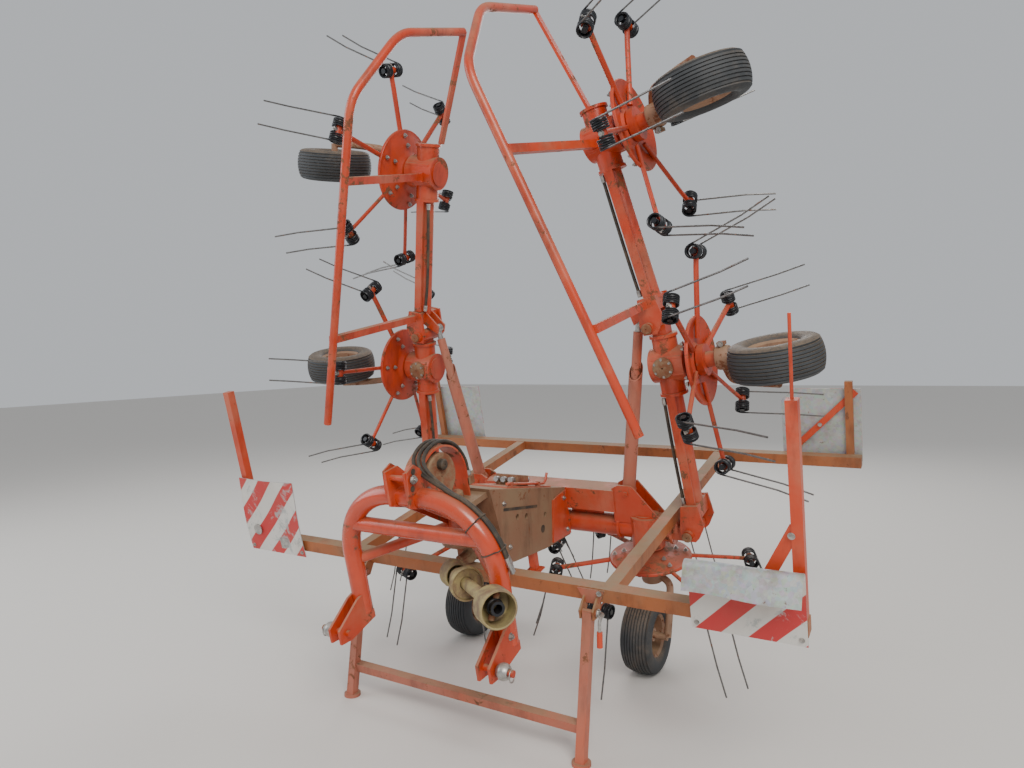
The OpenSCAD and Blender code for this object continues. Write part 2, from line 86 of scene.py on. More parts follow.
LINK_Y, LINK_Z, LINK_R = -1.312, 0.737, 0.014
TOP_LINK = Vector((0.07, -1.2, 1.446))
SHAFT_START, SHAFT_END = Vector((0.03, -1, 0.93)), Vector((0.4894, -1.3295, 1.015))
DRAWBAR_HALF, GUSSET_OUT = 0.12, 0.128
RAIL_FRONT = -0.8632
POST_FRONT, POST_BACK, POST_FOOT, POST_TOP = -0.8536, -0.8124, 0.8806, 1.6976
POST_IN, POST_OUT = 0.0446, 0.0034
STAND_X, STAND_AXLE = 0.634, Vector((0.672, -0.903, 0.79))
HOSE_R, HOSE_SPACING = 0.008, 0.026
BALL_X, RING_X = 0.455, 0.49
STRIPE = 0.1
# Gaps that keep a fine part off the surface it lies on or the pin it goes round
CLEARANCE, FIT = 0.0006, 0.0003


def colour_prop(name, text, value):
    return FloatVectorProperty(
        name=name, description=text, subtype="COLOR", size=3, min=0, max=1, default=value)


def length_prop(name, text, value):
    return FloatProperty(name=name, description=text, subtype="DISTANCE", unit="LENGTH", min=0, default=value)


def angle_prop(name, text, degrees):
    return FloatProperty(name=name, description=text, subtype="ANGLE", default=math.radians(degrees))


class TedderColours(PropertyGroup):
    paint: colour_prop("Paint", "Orange-red paint of the frame", (0.5, 0.046, 0.011))
    faded: colour_prop("Faded paint", "Paint bleached by the sun", (0.5, 0.115, 0.058))
    rust: colour_prop("Rust", "Rust where the paint has gone", (0.13, 0.045, 0.02))
    dust: colour_prop("Dust", "Barn dust on upward faces", (0.26, 0.175, 0.1))
    rail: colour_prop("Rail paint", "Brown-orange paint of the rails", (0.34, 0.105, 0.032))
    strut: colour_prop("Strut paint", "Pale pinkish paint of the folding struts", (0.42, 0.135, 0.085))
    leg: colour_prop("Leg", "Dusty tan of the wheel legs", (0.3, 0.17, 0.105))
    box: colour_prop("Drawbar", "Dusty brown of the drawbar box", (0.23, 0.118, 0.066))
    coil: colour_prop("Coil", "Black lacquer of the spring coils", (0.012, 0.014, 0.018))
    tine: colour_prop("Tine", "Worn grey steel of the tines", (0.17, 0.165, 0.16))
    steel: colour_prop("Steel", "Bare zinc plated steel", (0.42, 0.41, 0.39))
    tyre: colour_prop("Tyre", "Grey rubber of the tyres", (0.028, 0.031, 0.034))
    galvanised: colour_prop("Galvanised", "Zinc coat on the board backs", (0.4, 0.43, 0.42))
    white: colour_prop("Board white", "White of the warning boards", (0.62, 0.6, 0.56))
    red: colour_prop("Board red", "Red of the warning boards", (0.52, 0.035, 0.035))
    yellow: colour_prop("Shaft guard", "Dirty yellow plastic of the drive shaft", (0.36, 0.295, 0.125))


class TedderRotor(PropertyGroup):
    disc_r: length_prop("Disc radius", "Radius of the dished disc", 0.215)
    coil_ring: length_prop("Coil ring", "Radius at which the coils sit", 0.505)
    coil_drop: length_prop("Coil drop", "Depth of the coils below the gear centre", 0.205)
    coil_r: length_prop("Coil radius", "Outer radius of a coil", 0.036)
    wire: length_prop("Wire", "Thickness of the tine wire", 0.0085)
    tine: length_prop("Tine", "Length of a tine below its coil", 0.403)
    splay: angle_prop("Splay", "Outward lean of a tine", 18)
    arms: IntProperty(name="Arms", description="Tine arms on a rotor", min=1, default=6)
    turns: IntProperty(name="Turns", description="Turns in a coil", min=1, default=5)


class TedderWheel(PropertyGroup):
    radius: length_prop("Radius", "Radius of a tyre", 0.2)
    width: length_prop("Width", "Width of a tyre", 0.16)
    rim: length_prop("Rim", "Radius of the steel rim", 0.104)
    ribs: IntProperty(name="Ribs", description="Ribs round the tread", min=1, default=8)


class TedderStage(PropertyGroup):
    lens: FloatProperty(name="Lens", description="Focal length of the camera in millimetres", default=25.5)
    eye: FloatVectorProperty(
        name="Eye", description="Place of the camera", subtype="TRANSLATION", default=(1.925, -3.318, 1.678))
    yaw: angle_prop("Yaw", "Turn of the camera from +Y to -X", 31.5)
    pitch: angle_prop("Pitch", "Tilt of the camera, up positive", -2.425)
    roll: angle_prop("Roll", "Roll of the camera", -1.331)


class TedderSettings(PropertyGroup):
    colours: PointerProperty(type=TedderColours)
    rotor: PointerProperty(type=TedderRotor)
    wheel: PointerProperty(type=TedderWheel)
    stage: PointerProperty(type=TedderStage)


def settings():
    return bpy.context.scene.tedder


# Frames of the machine


def axes_matrix(origin, x_axis, z_axis):
    x, z = Vector(x_axis).normalized(), Vector(z_axis).normalized()
    return Matrix.Translation(Vector(origin)) @ Matrix((x, z.cross(x), z)).transposed().to_4x4()


# From the level machine to its parked place, leaning on its stand
TIPPED = Matrix.Translation(JOINTS["arm_fold_r"]["pos_m"]) @ Matrix.Rotation(LEAN, 4, "X")
PARKED = TIPPED @ Matrix.Translation(-HINGE)
# From an outline of (y, z) pairs to a plate that stands across the machine
ACROSS = axes_matrix((0, 0, 0), Y, X)


def side_matrix(side):
    """The level machine as it is parked, and for the left side a mirror image of the right."""
    return PARKED @ Matrix.Diagonal((SIDES[side], 1, 1, 1))


def arm_matrix(side, row):
    """Frame of an arm: X along it, Z up when it is spread."""
    place = side_matrix(side) @ Matrix.Translation(HINGE) @ Matrix.Rotation(-math.pi / 2 - INNER_LEAN, 4, "Y")
    if row == "outer":
        place = place @ Matrix.Translation(INNER_LENGTH * X)
        place = place @ Matrix.Rotation(INNER_LEAN - OUTER_LEAN, 4, "Y")
    return place


def gear_matrix(side, row):
    """Frame of a gear centre in the arm that carries it."""
    if row == "center":
        return side_matrix(side) @ Matrix.Translation(CENTER_GEAR)
    return arm_matrix(side, row) @ Matrix.Translation((GEAR_ALONG[row], 0, -GEAR_BELOW))


def rotor_matrix(side, row):
    """Frame of a rotor at its gear centre: X along the axle of its wheel, Z up its own axis."""
    spin, roll = JOINTS[f"rotor_spin_{row}_{side}"], JOINTS[f"wheel_roll_{row}_{side}"]
    origin = Vector(spin["pos_m"]) + GEAR_TO_JOINT * Vector(spin["axis"])
    return axes_matrix(origin, roll["axis"], spin["axis"])


# Lines and outlines


def turns(count):
    return [2 * math.pi * k / count for k in range(count)]


def circle(radius, sides, centre=Vector(), first=X, second=Y):
    return [centre + radius * (math.cos(turn) * first + math.sin(turn) * second) for turn in turns(sides)]


def around(count):
    """Each number below count with the one after it, and the last with the first."""
    return [(i, (i + 1) % count) for i in range(count)]


def rounded(points, bend, steps=6):
    """The line through points with each corner bent to a curve."""
    points = [Vector(point) for point in points]
    line = [points[0]]
    for before, corner, after in zip(points, points[1:], points[2:]):
        reach = min(bend, 0.45 * (corner - before).length, 0.45 * (after - corner).length)
        start = corner + reach * (before - corner).normalized()
        end = corner + reach * (after - corner).normalized()
        for k in range(steps + 1):
            t = k / steps
            line.append((1 - t) ** 2 * start + 2 * t * (1 - t) * corner + t ** 2 * end)
    return line + [points[-1]]


def flowing(points, steps=6):
    """A smooth line through every point."""
    points = [Vector(point) for point in points]
    padded = [2 * points[0] - points[1], *points, 2 * points[-1] - points[-2]]
    line = []
    for a, b, c, d in zip(padded, padded[1:], padded[2:], padded[3:]):
        for k in range(steps):
            t = k / steps
            curve = (2 * a - 5 * b + 4 * c - d) * t ** 2 + (3 * b - a - 3 * c + d) * t ** 3
            line.append(0.5 * (2 * b + (c - a) * t + curve))
    return line + [points[-1]]


# Mesh making


class Shape:
    """A mesh put together from tubes, revolved outlines and prisms, each with its own finish."""

    def __init__(self):
        self.mesh = bmesh.new()
        self.finishes = []

    def _ring(self, points):
        return [self.mesh.verts.new(point) for point in points]

    def _face(self, corners, finish):
        if finish not in self.finishes:
            self.finishes.append(finish)
        self.mesh.faces.new(corners).material_index = self.finishes.index(finish)

    def _skin(self, rings, finish, closed=False):
        pairs = list(zip(rings, rings[1:]))
        if closed:
            pairs.append((rings[-1], rings[0]))
        for low, high in pairs:
            for i, j in around(len(low)):
                self._face((low[i], low[j], high[j], high[i]), finish)
        if not closed:
            self._face(rings[0][::-1], finish)
            self._face(rings[-1], finish)

    def tube(self, points, radius, finish, sides=12, flat=1.0):
        """A round bar along points; flat under 1 squeezes it across its first normal."""
        points = [Vector(point) for point in points]
        tangent = (points[1] - points[0]).normalized()
        normal = tangent.orthogonal().normalized()
        rings = []
        for i, point in enumerate(points):
            ahead = points[min(i + 1, len(points) - 1)] - point
            behind = point - points[max(i - 1, 0)]
            new = (ahead.normalized() + behind.normalized()).normalized()
            normal = tangent.rotation_difference(new) @ normal
            tangent = new
            rings.append(self._ring(circle(radius, sides, point, flat * normal, tangent.cross(normal))))
        self._skin(rings, finish)

    def loop(self, points, radius, finish):
        """A thin ring of wire or cord through points."""
        self.tube(points + points[:1], radius, finish, 8)

    def revolve(self, outline, finish, segments=48, place=Matrix()):
        """A closed outline of (radius, height) pairs turned round Z."""
        rings = []
        for turn in turns(segments):
            out = math.cos(turn) * X + math.sin(turn) * Y
            rings.append(self._ring(place @ (radius * out + height * Z) for radius, height in outline))
        self._skin(rings, finish, closed=True)

    def prism(self, outline, low, high, finish, place=Matrix()):
        """A flat outline in XY given height from low to high along Z."""
        rings = [self._ring(place @ Vector((p[0], p[1], height)) for p in outline) for height in (low, high)]
        self._skin(rings, finish)

    def block(self, low, high, finish, place=Matrix()):
        """A plain bar or plate between two corners."""
        (x0, y0, z0), (x1, y1, z1) = low, high
        self.prism([(x0, y0), (x1, y0), (x1, y1), (x0, y1)], z0, z1, finish, place)

    def beam(self, start, end, across, width, depth, finish):
        """A rectangular bar from start to end, its width measured along across."""
        start, end, across = Vector(start), Vector(end), Vector(across)
        along = (end - start).normalized()
        flat = (across - across.dot(along) * along).normalized()
        corner = Vector((width / 2, depth / 2, 0))
        self.block(-corner, corner + (end - start).length * Z, finish, axes_matrix(start, flat, along))

    def plate(self, outline, near, far, finish):
        """A plate across the machine: a (y, z) outline between two places along X."""
        self.prism(outline, min(near, far), max(near, far), finish, ACROSS)

    def sheet(self, point, steps, thickness, front, back):
        """A bent plate: point(u, v, shift) for u and v from 0 to 1, its front and back finished apart."""
        across, up = steps
        rims = []
        for shift, finish in ((0, front), (thickness, back)):
            grid = [self._ring(Vector(point(i / across, j / up, shift)) for i in range(across + 1))
                    for j in range(up + 1)]
            for low, high in zip(grid, grid[1:]):
                for i in range(across):
                    self._face((low[i], low[i + 1], high[i + 1], high[i]), finish)
            right, left = [row[-1] for row in grid[1:]], [row[0] for row in grid[-2:0:-1]]
            rims.append(grid[0] + right + grid[-1][-2::-1] + left)
        near, far = rims
        for i, j in around(len(near)):
            self._face((near[i], near[j], far[j], far[i]), back)

    def bolt(self, point, along, radius, height):
        """Steel hexagon head with its washer, standing on point."""
        place = axes_matrix(point, along.orthogonal(), along)
        washer, thread = 0.25 * height, 1.6 * height
        self.prism(circle(1.35 * radius, 16), 0, washer, "steel", place)
        self.prism(circle(radius, 6), washer, height, "steel", place)
        self.prism(circle(0.5 * radius, 10), height, thread, "steel", place)

    def build(self, name, place=PARKED):
        bmesh.ops.remove_doubles(self.mesh, verts=self.mesh.verts, dist=1e-6)
        bmesh.ops.transform(self.mesh, matrix=place, verts=self.mesh.verts)
        bmesh.ops.recalc_face_normals(self.mesh, faces=self.mesh.faces)
        mesh = bpy.data.meshes.new(name)
        self.mesh.to_mesh(mesh)
        self.mesh.free()
        for finish in self.finishes:
            mesh.materials.append(finishes()[finish])
        mesh.polygons.foreach_set("use_smooth", [True] * len(mesh.polygons))
        mesh.set_sharp_from_angle(angle=math.radians(35))
        return placed(name, mesh)


def placed(name, data):
    holder = bpy.data.objects.new(name, data)
    bpy.context.scene.collection.objects.link(holder)
    return holder


def ring_copies(name, source, count, turn, material):
    """Bakes copies of source in a ring round Z with a Geometry Nodes tree, and removes source."""
    tree = bpy.data.node_groups.new("Ring of " + name, "GeometryNodeTree")
    socket = tree.interface.new_socket
    socket("Geometry", in_out="INPUT", socket_type="NodeSocketGeometry")
    count_id = socket("Count", in_out="INPUT", socket_type="NodeSocketInt").identifier
    turn_id = socket("Turn", in_out="INPUT", socket_type="NodeSocketFloat").identifier
    socket("Geometry", in_out="OUTPUT", socket_type="NodeSocketGeometry")
    given, result = tree.nodes.new("NodeGroupInput"), tree.nodes.new("NodeGroupOutput")
    points, index = tree.nodes.new("GeometryNodePoints"), tree.nodes.new("GeometryNodeInputIndex")
    step, angle = tree.nodes.new("ShaderNodeMath"), tree.nodes.new("ShaderNodeMath")
    spin, copies = tree.nodes.new("ShaderNodeCombineXYZ"), tree.nodes.new("GeometryNodeInstanceOnPoints")
    real, paint = tree.nodes.new("GeometryNodeRealizeInstances"), tree.nodes.new("GeometryNodeSetMaterial")
    step.operation = "DIVIDE"
    step.inputs[0].default_value = 2 * math.pi
    angle.operation = "MULTIPLY_ADD"
    paint.inputs["Material"].default_value = material
    for output, target in (
        (given.outputs["Count"], points.inputs["Count"]),
        (given.outputs["Count"], step.inputs[1]),
        (index.outputs[0], angle.inputs[0]),
        (step.outputs[0], angle.inputs[1]),
        (given.outputs["Turn"], angle.inputs[2]),
        (angle.outputs[0], spin.inputs["Z"]),
        (points.outputs[0], copies.inputs["Points"]),
        (given.outputs["Geometry"], copies.inputs["Instance"]),
        (spin.outputs[0], copies.inputs["Rotation"]),
        (copies.outputs[0], real.inputs[0]),
        (real.outputs[0], paint.inputs["Geometry"]),
        (paint.outputs[0], result.inputs[0]),
    ):
        tree.links.new(output, target)
    modifier = source.modifiers.new("Ring", "NODES")
    modifier.node_group = tree
    modifier[count_id] = count
    modifier[turn_id] = turn
    bpy.context.view_layer.update()
    baked = bpy.data.meshes.new_from_object(source.evaluated_get(bpy.context.evaluated_depsgraph_get()))
    bpy.data.objects.remove(source)
    return placed(name, baked)


def join(name, pieces, place):
    """Joins pieces into one, keeps their finishes, and puts its place into the mesh."""
    whole = pieces[0]
    with bpy.context.temp_override(active_object=whole, selected_editable_objects=pieces, object=whole):
        bpy.ops.object.join()
    whole.name = name
    whole.data.name = name
    whole.data.transform(place)
    return whole


def fit(piece, body, node=None):
    """Hangs a piece under the empty of the body that carries it, and hides the CAD node it stands for."""
    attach(piece, body)
    if node:
        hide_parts(node)


# Finishes


def shade(colour, factor):
    return tuple(factor * part for part in colour)


class Finish:
    """Builds the nodes of one material."""

    def __init__(self, name):
        self.material = bpy.data.materials.new(name)
        self.material.use_nodes = True
        self.tree = self.material.node_tree
        self.shader = self.tree.nodes["Principled BSDF"]
        self.place = self.tree.nodes.new("ShaderNodeTexCoord")

    def put(self, socket, value):
        """Links a node's output to a socket, or sets a fixed value on it."""
        if isinstance(value, bpy.types.NodeSocket):
            self.tree.links.new(value, socket)
        else:
            socket.default_value = (*value, 1) if socket.type == "RGBA" else value

    def add(self, kind, values, **options):
        node = self.tree.nodes.new(kind)
        for key, value in options.items():
            setattr(node, key, value)
        for key, value in values.items():
            self.put(node.inputs[key], value)
        return node

    def noise(self, scale, detail=5, rough=0.6, stretch=(1, 1, 1), twist=0.0):
        spot = self.add("ShaderNodeMapping", {"Vector": self.place.outputs["Object"], "Scale": stretch})
        values = {"Vector": spot.outputs[0], "Scale": scale, "Detail": detail,
                  "Roughness": rough, "Distortion": twist}
        return self.add("ShaderNodeTexNoise", values).outputs["Fac"]

    def step(self, value, low, high, start=0.0, end=1.0):
        values = {"Value": value, "From Min": low, "From Max": high, "To Min": start, "To Max": end}
        return self.add("ShaderNodeMapRange", values, interpolation_type="SMOOTHSTEP").outputs["Result"]

    def calc(self, operation, first, second, clamp=True):
        node = self.add("ShaderNodeMath", {0: first, 1: second}, operation=operation, use_clamp=clamp)
        return node.outputs[0]

    def mix(self, amount, first, second):
        return self.add("ShaderNodeMix", {0: amount, 6: first, 7: second}, data_type="RGBA").outputs[2]

    def upward(self, low=0.25, high=0.95):
        """How far a surface faces up, from 0 to 1."""
        split = self.add("ShaderNodeSeparateXYZ", {0: self.place.outputs["Normal"]})
        return self.step(split.outputs["Z"], low, high)

    def finish(self, colour, roughness, metallic=0.0, height=None, bump=0.3, distance=0.002, coat=0.0):
        values = {"Base Color": colour, "Roughness": roughness, "Metallic": metallic,
                  "Coat Weight": coat, "Coat Roughness": 0.25}
        for key, value in values.items():
            self.put(self.shader.inputs[key], value)
        if height is not None:
            relief = self.add("ShaderNodeBump", {"Height": height, "Strength": bump, "Distance": distance})
            self.put(self.shader.inputs["Normal"], relief.outputs[0])
        return self.material


def weathered_paint(name, paint, faded, rust_share=0.24, dust_share=0.75, shine=0.32, coat=0.08):
    """Old farm paint: bleached in patches, rusted through in spots, dusty on top."""
    hue = settings().colours
    look = Finish(name)
    patches = look.noise(3.2, 6, 0.62)
    fine = look.noise(42, 4, 0.7)
    colour = look.mix(look.step(patches, 0.42, 0.68), paint, faded)
    streaks = look.noise(9, 5, 0.7, stretch=(1, 1, 0.25))
    colour = look.mix(look.step(streaks, 0.46, 0.72, 0, 0.7), colour, shade(paint, 0.42))
    spots = look.noise(26, 8, 0.75, twist=0.4)
    spots = look.calc("MULTIPLY", spots, look.step(look.noise(5.5, 3), 0.35, 0.7, 0.72, 1.15))
    edge = 0.66 - 0.42 * rust_share
    rust = look.step(spots, edge, edge + 0.05)
    colour = look.mix(rust, colour, look.mix(look.step(fine, 0.3, 0.7), hue.rust, shade(hue.rust, 1.9)))
    dust = look.calc("MULTIPLY", look.upward(), look.step(look.noise(7, 5), 0.3, 0.62, 0.35, 1))
    grime = look.step(look.noise(2.6, 7, 0.72), 0.46, 0.74, 0, 0.5)
    cover = look.calc("MULTIPLY", look.calc("ADD", dust, grime), dust_share)
    colour = look.mix(cover, colour, hue.dust)
    rough = look.step(look.calc("ADD", rust, cover), 0, 1, shine, 0.92)
    rough = look.calc("ADD", rough, look.step(fine, 0.2, 0.8, 0, 0.08))
    height = look.calc("MULTIPLY", rust, fine)
    height = look.calc("ADD", height, look.calc("MULTIPLY", look.noise(120, 3), 0.12))
    return look.finish(colour, rough, height=height, bump=0.35, distance=0.0015, coat=coat)


def bare_metal(name, tone, rust_share, dust_share, metallic=0.85, rough=0.38):
    """Worn metal with rust in its pits and dust on top."""
    hue = settings().colours
    look = Finish(name)
    fine = look.noise(60, 6, 0.7)
    edge = 0.78 - 0.46 * rust_share
    rust = look.step(look.noise(24, 7, 0.75, twist=0.5), edge, edge + 0.1)
    colour = look.mix(look.step(fine, 0.3, 0.7), shade(tone, 0.7), shade(tone, 1.25))
    colour = look.mix(rust, colour, shade(hue.rust, 1.4))
    top = look.upward()
    dust = look.calc("MULTIPLY", top, look.step(look.noise(8, 4), 0.3, 0.65, 0.2 * dust_share, dust_share))
    colour = look.mix(dust, colour, hue.dust)
    cover = look.calc("ADD", rust, dust)
    metal = look.step(cover, 0, 0.8, metallic, 0)
    return look.finish(colour, look.step(cover, 0, 1, rough, 0.9), metal, fine, 0.12, 0.001)


def rubber():
    """Grey tyre rubber, scuffed and dusty."""
    hue = settings().colours
    look = Finish("Tyre rubber")
    fine = look.noise(75, 6, 0.7)
    scuff = look.step(look.noise(6, 6, 0.7), 0.38, 0.7)
    colour = look.mix(scuff, hue.tyre, shade(hue.tyre, 1.9))
    dust = look.calc("MULTIPLY", look.upward(0.1, 0.9), look.step(fine, 0.3, 0.62, 0.12, 0.5))
    grime = look.step(look.noise(3, 7, 0.75), 0.52, 0.78, 0, 0.35)
    colour = look.mix(look.calc("ADD", dust, grime), colour, hue.dust)
    return look.finish(colour, look.step(scuff, 0, 1, 0.62, 0.84), height=fine, distance=0.0015)


def cast_metal():
    """Rough brown casting with patches of paint left."""
    hue = settings().colours
    look = Finish("Cast gearbox")
    patches = look.noise(14, 7, 0.7)
    colour = look.mix(look.step(patches, 0.4, 0.65), shade(hue.rust, 1.5), hue.dust)
    colour = look.mix(look.step(look.noise(5, 4), 0.5, 0.7, 0, 0.6), colour, shade(hue.paint, 0.7))
    return look.finish(colour, 0.88, height=look.noise(90, 6, 0.8), bump=0.6)


def guard_plastic():
    """Yellowed plastic under grease and dirt."""
    hue = settings().colours
    look = Finish("Shaft guard plastic")
    dirt = look.noise(11, 7, 0.72, twist=0.6)
    colour = look.mix(look.step(dirt, 0.36, 0.62), hue.yellow, shade(hue.dust, 0.75))
    colour = look.mix(look.step(look.noise(38, 6, 0.8), 0.55, 0.72, 0, 0.55), colour, (0.07, 0.055, 0.035))
    return look.finish(colour, 0.62, height=dirt, bump=0.25)


def striped_board():
    """Red and white diagonals, worn to the zinc in patches."""
    hue = settings().colours
    look = Finish("Warning board")
    split = look.add("ShaderNodeSeparateXYZ", {0: look.place.outputs["Object"]})
    rise = look.calc("MULTIPLY", split.outputs["Z"], 1 / math.cos(LEAN), clamp=False)
    across = look.calc("SUBTRACT", split.outputs["X"], rise, clamp=False)
    wave = look.calc("PINGPONG", across, STRIPE, clamp=False)
    stripe = look.step(wave, 0.48 * STRIPE, 0.52 * STRIPE)
    worn = look.step(look.noise(7, 8, 0.78, twist=0.8), 0.54, 0.62, 0, 0.85)
    colour = look.mix(stripe, hue.white, hue.red)
    colour = look.mix(worn, colour, shade(hue.galvanised, 0.9))
    colour = look.mix(look.step(look.noise(4, 6), 0.45, 0.8, 0, 0.45), colour, hue.dust)
    return look.finish(colour, 0.55, height=look.noise(30, 6), bump=0.15)


def zinc_sheet():
    """Bare galvanised sheet with its spangle, scratches and dirt."""
    hue = settings().colours
    look = Finish("Galvanised sheet")
    spangle = look.add("ShaderNodeTexVoronoi", {"Vector": look.place.outputs["Object"], "Scale": 60})
    zinc = look.mix(0.9, spangle.outputs["Color"], hue.galvanised)
    zinc = look.mix(look.step(look.noise(5, 7, 0.75), 0.46, 0.72, 0, 0.6), zinc, shade(hue.dust, 0.75))
    zinc = look.mix(look.step(look.noise(38, 8, 0.8), 0.6, 0.66, 0, 0.8), zinc, hue.rust)
    return look.finish(zinc, 0.5, 0.35, height=look.noise(30, 6), bump=0.15)


def hose_rubber():
    """Black hose rubber, greyed by dust; the same material is the painted shade in the top link's holes and
    the drawbar's slot and hole.
    """
    look = Finish("Hose rubber")
    cloud = look.step(look.noise(16, 6, 0.7), 0.4, 0.7, 0.1, 0.75)
    colour = look.mix(cloud, (0.022, 0.022, 0.02), shade(settings().colours.dust, 0.5))
    return look.finish(colour, 0.7, height=look.noise(120, 4), bump=0.2, distance=0.001)


def finishes():
    """All materials by name, made once."""
    hue = settings().colours
    if not hasattr(finishes, "made"):
        finishes.made = {
            "paint": weathered_paint("Frame paint", hue.paint, hue.faded),
            "arch": weathered_paint("Arch paint", shade(hue.paint, 1.12), hue.paint, 0.2, 0.42, 0.2, 0.5),
            "rotor": weathered_paint("Rotor paint", hue.paint, shade(hue.paint, 0.8), 0.3, 0.45, 0.42),
            "rail": weathered_paint("Rail paint", hue.rail, shade(hue.rail, 1.15), 0.2, 0.95, 0.55),
            "strut": weathered_paint("Strut paint", hue.strut, hue.faded, 0.2, 0.7, 0.5),
            "leg": weathered_paint("Leg paint", hue.leg, shade(hue.leg, 1.3), 0.35, 0.8, 0.6),
            "coil": bare_metal("Black coil", hue.coil, 0.05, 0.14, 0.2, 0.35),
            "tine": bare_metal("Tine steel", hue.tine, 0.45, 0.2),
            "steel": bare_metal("Zinc plated steel", hue.steel, 0.25, 0.35),
            "tyre": rubber(),
            "cast": cast_metal(),
            "guard": guard_plastic(),
            "board": striped_board(),
            "zinc": zinc_sheet(),
            "hose": hose_rubber(),
            "box": weathered_paint("Drawbar paint", hue.box, shade(hue.dust, 0.9), 0.2, 0.9, 0.6),
            "post": weathered_paint("Post paint", shade(hue.paint, 1.1), hue.faded, 0.1, 0.25, 0.4),
        }
    return finishes.made


# Each finish with the starts of the CAD node names that have it
NODE_FINISH = {
    "paint": ("main_beam", "swivel_head", "link_bracket", "arm"),
    "arch": ("headstock_arch", "guard"),
    "rail": ("front_rail", "rear_rail", "long_beam"),
    "strut": ("parking_stand", "cylinder"),
    "box": ("drawbar",),
    "cast": ("input_gearbox",),
    "guard": ("pto_shaft",),
    "board": ("board",),
    "steel": ("rod",),
    "rotor": ("rotor",),
    "tyre": ("wheel",),
    "leg": ("leg",),
}


# Operators


class TEDDER_OT_finish_frame(Operator):
    """Give every CAD node the finish of its part"""

    bl_idname = "tedder.finish_frame"
    bl_label = "Finish the frame"

    def execute(self, context):
        for name, node in frame["nodes"].items():
            finish = next(finish for finish, starts in NODE_FINISH.items() if name.startswith(starts))
            for slot in node.material_slots:
                slot.material = finishes()[finish]
        return {"FINISHED"}


class TEDDER_OT_rotors(Operator):
    """Build the six rotors with dished disc, arms, wound coils and tines"""

    bl_idname = "tedder.rotors"
    bl_label = "Rotors"

    def execute(self, context):
        for side in SIDES:
            for row, turn in zip(ROWS, REST_TURN[side]):
                self.rotor(side, row, turn)
        return {"FINISHED"}

    def rotor(self, side, row, turn):
        size = settings().rotor
        angle = -math.radians(turn) * SIDES[side] + (math.pi if side == "l" else 0)
        hub, arm, spring, tine, fixing = (Shape() for _ in range(5))
        hub.revolve(self.disc_outline(size.disc_r), "rotor", 64)
        boss = [(0.04, -0.19), (0.076, -0.19), (0.076, -0.158), (0.066, -0.15), (0.04, -0.15)]
        hub.revolve(boss, "rotor", 40)
        start, end = Vector((0.105, 0, -0.158)), Vector((size.coil_ring, 0, -size.coil_drop))
        knee = end + Vector((-0.09, 0, 0.012))
        arm.tube([start, start.lerp(knee, 0.5), knee, knee.lerp(end, 0.6), end], 0.0135, "rotor", flat=0.75)
        arm.tube([end - 0.024 * Y, end + 0.024 * Y], 0.019, "rotor", 14)
        for hand in (1, -1):
            self.coil(spring, tine, size, end, hand)
        fixing.bolt(end + 0.018 * X, X, 0.0095, 0.013)
        for spot in ((0.135, 0, -0.125), (0.185, 0, -0.14)):
            fixing.bolt(spot, Z, 0.009, 0.01)
        parts = [hub.build("disc", Matrix())]
        for label, shape, finish in (
            ("arms", arm, "rotor"),
            ("coils", spring, "coil"),
            ("tines", tine, "tine"),
            ("bolts", fixing, "steel"),
        ):
            one = shape.build(label, Matrix())
            parts.append(ring_copies(label, one, size.arms, angle, finishes()[finish]))
        node = f"rotor_{row}_{side}"
        fit(join(node + "_dressed", parts, rotor_matrix(side, row)), node, node)

    def disc_outline(self, radius):
        """Dished plate with a rolled rim, as (radius, height) pairs."""
        rim = [(radius - 0.007 + 0.007 * math.cos(turn), -0.163 + 0.009 * math.sin(turn))
               for turn in (math.radians(110 - 40 * k) for k in range(7))]
        top = [(0.04, -0.112), (0.074, -0.112), (0.08, -0.116), (0.096, -0.128),
               (0.11, -0.132), (0.15, -0.136), (0.185, -0.15)]
        under = [(0.185, -0.158), (0.148, -0.145), (0.1, -0.141), (0.088, -0.139),
                 (0.074, -0.15), (0.04, -0.15)]
        return top + rim + under

    def coil(self, spring, tine, size, centre, hand):
        """One wound coil beside the arm's end, and the tine that leaves it."""
        gap, steps = 0.014, 16
        total = size.turns * steps
        wire = size.wire / 2
        path = []
        for k in range(total + 1):
            turn = size.splay + 2 * math.pi * (total - k) / steps
            across = hand * (gap + 1.08 * size.wire * size.turns * k / total)
            out = (size.coil_r - wire) * (math.cos(turn) * X + math.sin(turn) * Z)
            path.append(centre + out + across * Y)
        lead = Vector((math.sin(size.splay), 0, -math.cos(size.splay)))
        spring.tube(path + [path[-1] + 0.03 * lead], wire, "coil", 7)
        first = path[-1] + 0.02 * lead
        bend = first + 0.6 * size.tine * lead
        tip = bend + 0.34 * size.tine * (lead + 0.1 * X).normalized()
        tine.tube([first, first.lerp(bend, 0.94), bend, bend.lerp(tip, 0.1), tip], 0.97 * wire, "tine", 8)
        spring.tube([centre + hand * 0.006 * Y, centre + hand * (gap + 5.4 * size.wire) * Y], 0.013, "coil")


